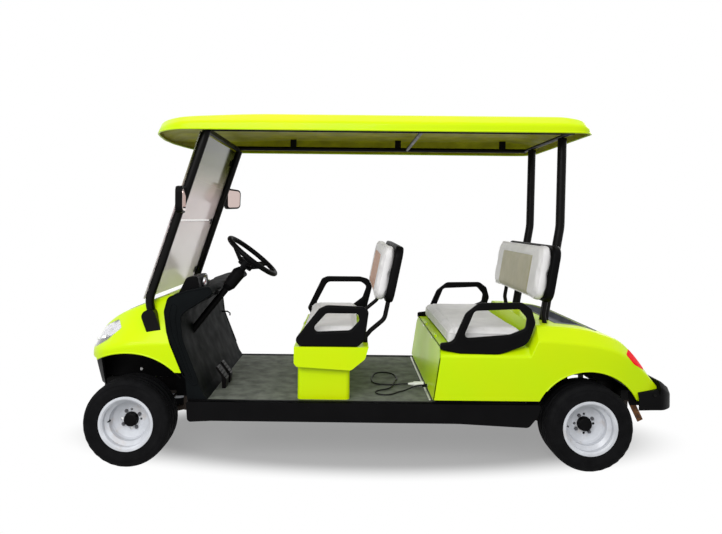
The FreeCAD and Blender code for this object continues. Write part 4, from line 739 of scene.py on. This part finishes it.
def make_rear():
    shell = REAR.shell("rear_shell", 5)
    boolean(shell, "INTERSECT", prism("rear_trim", [
        (-300, 368), (-343, 660), (-700, 900), (-1510, 900), (-1510, 426), (-1496, 426), (-1385, 413),
        (-1400, 413), (-1400, 368)], -600, 600))
    boolean(shell, "DIFFERENCE", wheel_space(REAR_ARCH, REAR_X), merged(
        "rear_holes", prism("bay_mouth", [(-760, 600), (-400, 600), (-400, 690), (-760, 690)], -480, 480),
        prism("well", [(-995, 800), (-1216, 800), (-1196, 672), (-1000, 688)], -400, 400),
        paired("lamp_holes", REAR_LAMP, 480, 600)))
    front = REAR.solid("rear_panel", 0, (-352, -296))
    lean = [(-300, 368), (-343, 660), (-348, 660), (-305, 368)]
    boolean(front, "INTERSECT", prism("lean", lean, -600, 600))
    pins = [turned("pin", [(0, 0), (6, 0), (6, 60), (0, 60)], 20, placed((-357, y, 645), 90, "X"))
            for y in (240, -180)]
    shell = settled(merged("rear_body_shell", shell, front, *pins), LIME)
    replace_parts(shell, "rear_body")
    settled(arch_lip("rear_arch_lip", REAR, REAR_X, REAR_ARCH, 40, 151), LIME)
    bumper = settled(BUMPER.shell("bumper_skin", 5), PLASTIC)
    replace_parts(bumper, "rear_bumper")
    rim = rounded([(-992, -404, 6), (-992, 404, 6), (-1219, 404, 6), (-1219, -404, 6)], 3)
    bead("tray_rim", [(p.x, p.y, REAR.at(p.x, 4) + 1) for p in spread(rim, 20)], 4, GREY, cyclic=True)


def make_tail_lamps():
    for name, depth, wall, material in (("tail_lens", -1.5, 5.5, RED_PAINTED_GLOW), ("tail_reflector", 8, 4, CHROME)):
        piece = REAR.shell(name, wall, depth, span=(-1460, -1316))
        settled(boolean(piece, "INTERSECT", paired("tail_cuts", REAR_LAMP, 481, 600)), material)
    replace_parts(bpy.data.objects["tail_lens"], "tail_lamps")


# ---- Seats

def puffed(obj, matrix, voxel, cap, pressure, keep_low):
    """The pad swelled by cloth under pressure, each point moved by at most cap."""
    modified(obj, "REMESH", mode="VOXEL", voxel_size=voxel * MM)
    start = [v.co.copy() for v in obj.data.vertices]
    scene = bpy.context.scene
    cloth = obj.modifiers.new("Cloth", "CLOTH")
    cloth.settings.quality = 4
    cloth.settings.use_pressure = True
    cloth.settings.uniform_pressure_force = pressure
    cloth.settings.tension_stiffness = cloth.settings.compression_stiffness = 12
    cloth.settings.effector_weights.gravity = 0
    cloth.point_cache.frame_start, cloth.point_cache.frame_end = 1, 16
    for step in range(1, 17):
        scene.frame_set(step)
    baked(obj)
    scene.frame_set(1)
    for v, s in zip(obj.data.vertices, start):
        move = v.co - s
        if move.length > cap * MM:
            move *= cap * MM / move.length
        v.co = s + move
        if s.z < keep_low * MM:
            v.co.z = max(v.co.z, 0)
    modified(obj, "SUBSURF", levels=1, subdivision_type="CATMULL_CLARK")
    obj.data.transform(matrix)
    return obj


def grooved(obj, *planes):
    """Sewn channels: points near a plane sink in along their normals.

    A plane is an axis, its place on it in millimetres and a test of the point and its normal.
    """
    depth, width = 4.5, 6
    vertices = obj.data.vertices
    normals = [v.normal.copy() for v in vertices]
    sinks = []
    for v, normal in zip(vertices, normals):
        sink = 0
        for axis, place, test in planes:
            d = (v.co[axis] - place * MM) / (width * MM)
            if abs(d) < 3 and test(v.co, normal):
                sink = max(sink, depth * math.exp(-d * d))
        sinks.append(sink)
    for v, normal, sink in zip(vertices, normals, sinks):
        v.co -= normal * sink * MM


def welt(name, obj, path, radius, body):
    """Piping laid on the pad along a closed path."""
    tree = BVHTree.FromPolygons([v.co for v in obj.data.vertices], [p.vertices[:] for p in obj.data.polygons])
    dots = []
    for p in path:
        spot, normal, _, _ = tree.find_nearest(p)
        dots.append((spot + normal * 0.5 * MM) / MM)
    return bead(name, dots, radius, CREAM, cyclic=True, body=body)


def make_cushion(tag, x, length, body):
    height, half = 94, 530
    # the pad starts smaller by 9 at its front and back, 8 at its sides and 12 on top, and swells out to size
    rows = [(0, 0), (0, height - 12), (18 - length, height - 12), (18 - length, 0)]
    pad = bevelled(prism(tag + "_seat_pad", rows, 8 - half, half - 8), 22, 4)
    puffed(pad, placed((x - 9, 0, 640.6)), 10, 16, 3.2, 14)
    up = lambda co, n: n.z > 0.3
    grooved(pad, (1, -176, up), (1, 176, up), (0, x - 60, up))
    settled(pad, CREAM, body, 60)
    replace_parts(pad, tag + "_cushion")
    for part, z, radius in (("_seat_welt", 716, 3.4), ("_seat_low_welt", 660, 2.6)):
        x0, x1, y = x - 6, x - length + 6, half - 4
        loop = spread(rounded([(x0, -y, 30), (x0, y, 30), (x1, y, 30), (x1, -y, 30)], 6), 30)
        welt(tag + part, pad, [Vector((p.x, p.y, z)) * MM for p in loop], radius, body)


def make_back(tag, x, z, lean, panel):
    """The padded back and the moulded shell behind it; returns the shell."""
    thick, height, half = 58, 330, 500

    def outline(edge, low, radius):
        y, top = half - edge, height - edge
        return [(-y, low, radius), (-y, top, radius), (y, top, radius), (y, low, radius)]

    obj = bevelled(prism(tag + "_back_pad", outline(8, 8, 62), 8 - thick, -6, axis="X", steps=8), 14, 4)
    puffed(obj, Matrix.Identity(4), 9, 13, 3.0, -100)
    for v in obj.data.vertices:
        v.co.x = max(v.co.x, -thick * MM)
    front = lambda co, n: n.x > 0.25
    grooved(obj, (1, -330, front), (1, 330, front),
            (2, 250, lambda co, n: n.x > 0.25 and abs(co.y) < 332 * MM))
    mesh = obj.data
    mesh.materials.append(CREAM)
    mesh.materials.append(panel)
    mesh.shade_smooth()
    # the inset on the front face takes the panel vinyl, whose colour carries painted light
    for poly in mesh.polygons:
        c = poly.center
        inside = abs(c.y) < 330 * MM and c.z < 250 * MM
        poly.material_index = 1 if poly.normal.x > 0.2 and inside else 0
    path = [Vector((0.004, p.x * MM, p.y * MM)) for p in rounded(outline(10, 12, 64), 8)]
    piping = welt(tag + "_back_welt", obj, spread(path, 0.03), 3.4, None)
    shell = bevelled(prism(tag + "_back_shell", outline(6, 12, 66), -thick - 46, -thick - 0.3, axis="X",
                           steps=8), 12, 4)
    for piece in (obj, piping, shell):
        piece.data.transform(placed((x, 0, z), -lean))
    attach(obj, "cart")
    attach(piping, "cart")
    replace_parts(obj, tag + "_seat_back")
    return shell


def make_arms():
    left = ([(431, 674, 30), (404, 640.4, 16), (100, 640.4, 30), (60, 674, 30), (40, 830, 26), (70, 852, 24),
             (262, 858, 50), (302, 840, 30)],
            [(354, 716, 20), (264, 816, 26), (98, 816, 16), (90, 778, 16), (138, 726, 34)])
    right = ([(436, 690, 20), (408, 640.4, 16), (90, 640.4, 30), (20, 700, 40), (-16, 846, 26), (10, 896, 40),
              (70, 912, 60), (300, 912, 50), (338, 896, 30)],
             [(384, 706, 20), (298, 874, 40), (62, 876, 40), (24, 846, 24), (52, 768, 24), (130, 708, 40)])
    rear = ([(-337, 664, 12), (-337, 630, 10), (-440, 610, 80), (-650, 606, 160), (-800, 664, 80),
             (-838, 776, 40), (-818, 846, 24), (-770, 882, 40), (-540, 878, 50), (-470, 822, 60),
             (-404, 672, 40)],
            [(-456, 690, 20), (-516, 836, 26), (-752, 848, 24), (-794, 800, 24), (-786, 746, 24),
             (-704, 712, 60)])
    for tag, near, far in (("front", left, right), ("rear", rear, rear)):
        arms = merged(tag + "_arm_loops", arm_loop(near, ARM_Y), arm_loop(far, -ARM_Y))
        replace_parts(settled(arms, PLASTIC), tag + "_armrests")


# ---- Wheels

def tyre_mesh():
    """One tyre about Z: shoulder blocks, four tread ribs and raised rings on the walls."""
    half, bead_r = 102.5, 127.4
    side = [(bead_r, 84), (133, 90.5), (141, 92.6), (148, 94), (150, 97), (156, 98.6), (162, 98.9),
            (176, 101.6), (188, 102.2), (190, 101.2), (203, 99.8), (205, 100.8), (212, 99.2), (219, 95)]
    tread = [(223.5, 90), (226.5, 82), (227.6, 72), (221.4, 70.5), (221.4, 64.5), (228.4, 63), (229.2, 44),
             (222.4, 42.5), (222.4, 36.5), (229.3, 35), (229.5, 9), (222.6, 7.5)]
    outside = side + tread + [(r, -h) for r, h in reversed(side + tread)]
    rows = outside + [(bead_r, -75), (176, -93), (214, -82), (216, 0), (214, 82), (176, 93), (bead_r, 75)]
    pitch, cuts = 30, (0, 0.1, 0.5, 0.6, 0.8)
    n, total = len(rows), pitch * len(cuts)
    points, faces = [], []
    for k in range(total):
        turn, j = divmod(k, len(cuts))
        for i, (r, h) in enumerate(rows):
            grow = 0
            if j < 2 and 217 < r < 226 and abs(h) > 70 and i < len(outside):
                grow = -2
            elif j in (2, 3) and r > 227.8 and 35 < abs(h) < 70:
                grow = -3
            lean = 0
            if r >= 200 and i < len(outside):
                lean = 0.18 * (h / half) * (1 if abs(h) < 96 else 0.9)
            angle = math.tau * (turn + cuts[j] + lean) / pitch
            points.append(((r + grow) * MM * math.cos(angle), (r + grow) * MM * math.sin(angle), h * MM))
        faces += band(k * n, (k + 1) % total * n, n)
    return outward(raw("tyre_form", points, faces))


def make_wheels():
    master = tyre_mesh()
    for corner, x, side in (("front_left", FRONT_X, 1), ("front_right", FRONT_X, -1),
                            ("rear_left", REAR_X, 1), ("rear_right", REAR_X, -1)):
        body = "wheel_" + corner
        m = placed((x, side * WHEEL_Y, AXLE_Z), -90 * side, "X")   # the outer face looks along +Z
        tyre = linked("tread_" + corner, master.data.copy())
        tyre.data.transform(m)
        settled(tyre, TYRE, body, 28)
        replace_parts(tyre, "tyre_" + corner)
        cap = turned("cap", [(0, 26.8), (22, 26.6), (31, 25.4), (35, 22), (36.5, 16), (36.8, 2), (39, 1.6),
                             (39, -3), (34, -4)], 40, m)
        settled(cap, PLASTIC, body)
        cap.name = "hub_cap_" + corner
        nuts, studs, circle = [], [], 50.8
        for k in range(4):
            a = math.tau * (k / 4 + 0.09)
            spot = m @ placed((circle * math.cos(a), circle * math.sin(a), 0))
            rows = [(0, 9), (8.6, 9), (10, 7), (10.4, -3), (12.5, -4), (12.5, -7), (0, -7)]
            nuts.append(turned("nut", rows, 6, spot))
            studs.append(turned("stud", [(0, 14), (4.4, 14), (5.4, 12.8), (5.4, 6), (0, 6)], 14, spot))
        settled(merged("lug_nuts_" + corner, *nuts, *studs), NUT_DARK, body)
        stem = turned("valve_" + corner, [(0, 62), (3, 62), (3.2, 46), (5.2, 44), (5.6, 34), (0, 34)], 12,
                      m @ placed((104, 0, 0)))
        settled(stem, PLASTIC, body)
    bpy.data.objects.remove(master)


# ---- Fittings

def box_piece(name, size, centre, material, edge, lean=0):
    lx, ly, lz = size
    rows = [(-lx / 2, -lz / 2), (lx / 2, -lz / 2), (lx / 2, lz / 2), (-lx / 2, lz / 2)]
    obj = bevelled(prism(name, rows, -ly / 2, ly / 2), edge)
    obj.data.transform(placed(centre, lean))
    return settled(obj, material)


def stud(name, spot, axis, radius, height, material):
    """A low domed head on a face that looks along axis."""
    turn = Vector((0, 0, 1)).rotation_difference(Vector(axis)).to_matrix().to_4x4()
    rows = [(0, height), (radius * 0.6, height * 0.96), (radius * 0.92, height * 0.7), (radius, 0), (0, 0)]
    return settled(turned(name, rows, 20, placed(spot) @ turn), material)


def screen_x(z):
    """The x of the screen's rear face at a height."""
    return 1242 - (z - 868) * math.tan(math.radians(SCREEN_LEAN))


def make_fittings():
    edge = rounded([(1019, 480), (1103, 704, 90), (1118, 814, 40), (1099, 888, 30), (1000, 924, 80),
                    (886, 944, 16), (866, 916, 10), (905, 888, 30), (1040, 800, 60), (1022, 660, 100),
                    (915, 392, 40)], 8)
    inner = rounded([(1000, 500, 20), (1080, 704, 80), (1094, 800, 40), (1078, 866, 30), (1052, 840, 20),
                     (1062, 780, 40), (1046, 668, 80), (962, 440, 30)], 8)
    for side in (1, -1):
        bead("dash_edge", [(p.x, side * 559, p.y) for p in edge], 4.5, DASH, cyclic=True)
        bead("dash_side_bead", [(p.x, side * 560.5, p.y) for p in inner], 2.5, DASH, cyclic=True)
    # dial in the instrument pod, switches and the key beside it
    m = placed((967, 300, 950), -96)
    settled(turned("dial_bezel", [(34, 0), (34, 6), (40, 8), (42, 0)], 36, m, closed=True), BRIGHT)
    settled(turned("dial_face", [(0, 2), (34, 2), (34, -2), (0, -2)], 36, m), DIAL)
    needle = prism("dial_needle", [(-1.5, -8), (1.5, -8), (0.5, 28), (-0.5, 28)], 2.2, 3.2, axis="Z")
    needle.data.transform(m @ placed((0, 0, 0), 35, "Z"))
    settled(needle, RED_PAINTED_GLOW)
    ticks = []
    for k in range(11):
        t = prism("tick", [(-0.8, 24), (0.8, 24), (0.8, 31), (-0.8, 31)], 2.1, 2.6, axis="Z")
        t.data.transform(m @ placed((0, 0, 0), -130 + 26 * k, "Z"))
        ticks.append(t)
    settled(merged("dial_ticks", *ticks), PLASTIC)
    stud("key_barrel", (888, 190, 900), (-0.86, 0, -0.5), 13, 12, BRIGHT)
    stud("dash_knob", (880, 420, 908), (-0.9, 0, -0.44), 12, 20, PLASTIC)
    for k, y in enumerate((120, 84)):
        box_piece("rocker_%d" % k, (10, 22, 34), (882, y, 902), PLASTIC, 3, lean=30)
    # rims of the glove pockets, on the dash's slope of 135 across and 88 down
    for y0, y1 in ((-520, -80), (130, 520)):
        low = rounded([(y0, 830, 30), (y0, 876, 20), (y1, 876, 20), (y1, 830, 30)], 6)
        bead("pocket_edge", [(902 + (888 - p.y) * 135 / 88, p.x, p.y) for p in low], 4, DASH, cyclic=True)
    horn = turned("horn_button", [(0, -30), (14, -30.5), (27, -34), (31, -39), (32, -44), (0, -44)], 36,
                  placed((696, 300, 1098), -COLUMN_LEAN))
    settled(horn, PLASTIC, "steering_wheel")
    # clips that hold the screen's edges, and the seal across its fold
    for side in (1, -1):
        for z, tag in ((FOLD_Z, "fold"), (960, "low"), (1690, "high")):
            x = screen_x(z)
            clip = prism("screen_clip", [(-6, -20, 4), (8, -20, 4), (8, 20, 4), (-6, 20, 4)], -17, 17)
            clip.data.transform(placed((x + 4, side * 470, z), -SCREEN_LEAN))
            settled(clip, PLASTIC)
            clip.name = "screen_clip_%s_%s" % (tag, "left" if side > 0 else "right")
            stud("clip_bolt", (x + 13, side * 470, z), (0.95, 0, 0.31), 6, 5, BRIGHT)
    x = screen_x(FOLD_Z) + 1
    bead("fold_seal", [(x, -521, FOLD_Z), (x, 521, FOLD_Z)], 2.2, LENS)
    # strip along the foot of the rear seat box, and treads on the sills
    box_piece("rear_kick_strip", (12, 1060, 5), (-291, 0, 354.8), STRIP, 1.5)
    for side in (1, -1):
        box_piece("sill_tread", (1780, 22, 4), (100, side * 568, 354.4), PLASTIC, 1.5)
    # rivets along the sills, bolts of the bumper and a flap behind each rear arch
    for side in (1, -1):
        for x in (-700, -350, 0, 350, 700):
            stud("sill_rivet", (x, side * 588, 322), (0, side, 0), 7, 3.5, PLASTIC)
        stud("bumper_bolt", (-1470, side * 561, 400), (0, side, 0), 8, 4, STEEL_BLACK)
        flap = [(-1350, 400), (-1362, 332), (-1460, 332), (-1460, 400)]
        settled(prism("arch_flap", flap, *sorted((side * 500, side * 505))), PLASTIC)
    # pedal treads
    for y, half in ((170, 24), (290, 34)):
        for k in range(4):
            x, z = 842 + 13 * k, 412 + 15.5 * k
            bead("pedal_rib", [(x - 5, y - half, z + 4), (x - 5, y + half, z + 4)], 2.4, PLASTIC)
    # hinge leaves of both seats
    for y in (210, -210):
        box_piece("front_hinge_leaf", (5, 56, 26), (435.5, y, 630), BRIGHT, 1)
        box_piece("rear_hinge_leaf", (5, 56, 22), (-340.5, y, 622), BRIGHT, 1)
    # rusty hangers behind the rear springs and a hook at the right of the dash
    for side in (1, -1):
        box_piece("rear_hanger", (34, 8, 186), (-1492, side * 260, 258), RUST, 2, lean=26)
    bead("dash_hook", [(1026, -480, 668), (985, -480, 668), (968, -480, 656), (968, -480, 640)], 5, PLASTIC)


def make_lead():
    low = LEAD_Z
    route = [(-270, 336, 384), (-240, 337, 382), (-205, 342, 369), (-168, 354, 356.5), (-132, 380, low),
             (-102, 422, low), (-60, 446, low), (-18, 430, low), (-2, 388, low), (-24, 348, low),
             (-68, 326, low), (-102, 298, 360), (-118, 256, 374), (-127, 196, 374), (-134, 148, 360),
             (-146, 96, low), (-146, 36, low), (-134, -22, low), (-100, -68, low), (-48, -72, low),
             (-16, -34, low), (-4, 20, low), (6, 76, low), (8, 132, low), (2, 182, low), (-32, 220, low),
             (-80, 230, low), (-126, 233, 358), (-162, 240, 365), (-200, 243, 366.3)]
    curve = bpy.data.curves.new("charging_cable", "CURVE")
    curve.dimensions = "3D"
    spline = curve.splines.new("NURBS")
    spline.points.add(len(route) - 1)
    for dot, p in zip(spline.points, route):
        dot.co = (p[0] * MM, p[1] * MM, p[2] * MM, 1)
    spline.order_u = 3
    spline.use_endpoint_u = True
    spline.resolution_u = 8
    curve.bevel_depth = LEAD_RADIUS * MM
    curve.bevel_resolution = 4
    curve.use_fill_caps = True
    curve.materials.append(LEAD)
    line = linked("charging_cable", curve)
    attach(line, "cart")
    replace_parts(line, "charging_lead")
    rings = []
    for k in range(5):
        r = 6.6 + 0.9 * k
        rings.append(turned("ring", [(r, -1.4), (r + 1.2, 0), (r, 1.4)], 24,
                            placed((-206 - 6 * k, 243, 366.3), -90), closed=True))
    sleeve = settled(merged("plug_rings", *rings), WHITE_PLASTIC)


# ---- Floor, light and camera

def seen(tree):
    """1 where the camera sees it, also through glass or in a reflection, and 0 for other light."""
    path = added(tree, "ShaderNodeLightPath").outputs
    result = path["Is Camera Ray"]
    for name in ("Is Transmission Ray", "Is Glossy Ray"):
        result = added(tree, "ShaderNodeMath", result, path[name], operation="MAXIMUM").outputs[0]
    return result


def make_stage():
    world = bpy.data.worlds.new("studio")
    bpy.context.scene.world = world
    world.use_nodes = True
    back = world.node_tree.nodes["Background"]
    back.inputs["Color"].default_value = (1, 1, 1, 1)
    level = added(world.node_tree, "ShaderNodeMapRange", seen(world.node_tree), To_Min=0.76, To_Max=1.0)
    world.node_tree.links.new(level.outputs["Result"], back.inputs["Strength"])

    # a wide floor that glows white to the camera, with a painted shadow: an oval under the cart where it
    # glows less and shows its dark grey
    turns = [math.tau * k / 48 for k in range(48)]
    points = [(0, 0, 0)] + [(30 * math.cos(a), 30 * math.sin(a), 0) for a in turns]
    floor = raw("studio_floor", points, [[0, k + 1, (k + 1) % 48 + 1] for k in range(48)])
    floor.location.z = -0.0005
    m = shader("floor_white_painted_shadow", (0.3, 0.3, 0.3), 0.9)
    tree = m.node_tree
    glow = added(tree, "ShaderNodeEmission", Strength=1.0)
    # painted shadow: inside the oval only 0.3 of what the camera sees glows, the rest is the dark grey floor
    place = added(tree, "ShaderNodeTexCoord").outputs["Object"]
    squeeze = added(tree, "ShaderNodeVectorMath", place, operation="DIVIDE")
    squeeze.inputs[1].default_value = (1.62, 0.62, 1)
    length = added(tree, "ShaderNodeVectorMath", squeeze.outputs[0], operation="LENGTH")
    reach = added(tree, "ShaderNodeMapRange", length.outputs["Value"], interpolation_type="SMOOTHSTEP",
                  From_Min=0.8, From_Max=1.2, To_Min=0.3, To_Max=1.0)
    amount = added(tree, "ShaderNodeMath", reach.outputs["Result"], seen(tree), operation="MULTIPLY")
    mix = added(tree, "ShaderNodeMixShader", amount.outputs[0], tree.nodes["Principled BSDF"].outputs[0],
                glow.outputs[0])
    tree.links.new(mix.outputs[0], tree.nodes["Material Output"].inputs["Surface"])
    floor.data.materials.append(m)

    def lamp(name, spot, target, size, power):
        light = bpy.data.lights.new(name, "AREA")
        light.shape = "RECTANGLE"
        light.size, light.size_y = size
        light.energy = power
        aim = (Vector(target) - Vector(spot)).to_track_quat("-Z", "Y")
        linked(name, light).matrix_world = Matrix.Translation(spot) @ aim.to_matrix().to_4x4()

    lamp("key", (1.6, 4.6, 3.2), (0, 0, 0.8), (4.0, 2.2), 165)
    lamp("top", (0, 0, 5.2), (0, 0, 0), (5.0, 3.0), 65)
    lamp("rear", (-4.6, -3.4, 3.2), (0, 0, 0.8), (3.0, 2.0), 90)

    data = bpy.data.cameras.new("photo_view")
    wide, sensor = 722, 36   # pixels across the picture, and the sensor's width in millimetres
    data.sensor_width = sensor
    data.lens = 632 / wide * sensor
    data.shift_x, data.shift_y = 11 / wide, -47 / wide
    data.clip_end = 100
    camera = linked("photo_view", data)
    roll = Matrix.Rotation(math.radians(0.6), 4, "Z")
    look = Matrix(((-1, 0, 0, 0), (0, 0, 1, 0), (0, 1, 0, 0), (0, 0, 0, 1)))
    camera.matrix_world = Matrix.Translation((0.145, 3.89, 1.308)) @ look @ roll
    bpy.context.scene.camera = camera


make_stage()
make_lead()
make_roof()
make_cowl()
make_headlamps()
make_valance()
make_rear()
make_tail_lamps()
make_cushion("front", 417, 342, "front_lid")
make_cushion("rear", -366, 440, "rear_lid")
# the front back's panel carries a painted reflection, the rear back's panel painted shade
shells = [make_back("front", 14, 866, 11.5, TAN_PAINTED_REFLECTION), make_back("rear", -848, 872, 9.5, OLIVE_PAINTED_SHADE)]
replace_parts(settled(merged("back_shells", *shells), PLASTIC), "seat_back_shells")
make_arms()
make_wheels()
make_fittings()

bpy.context.scene.view_settings.view_transform = "Standard"
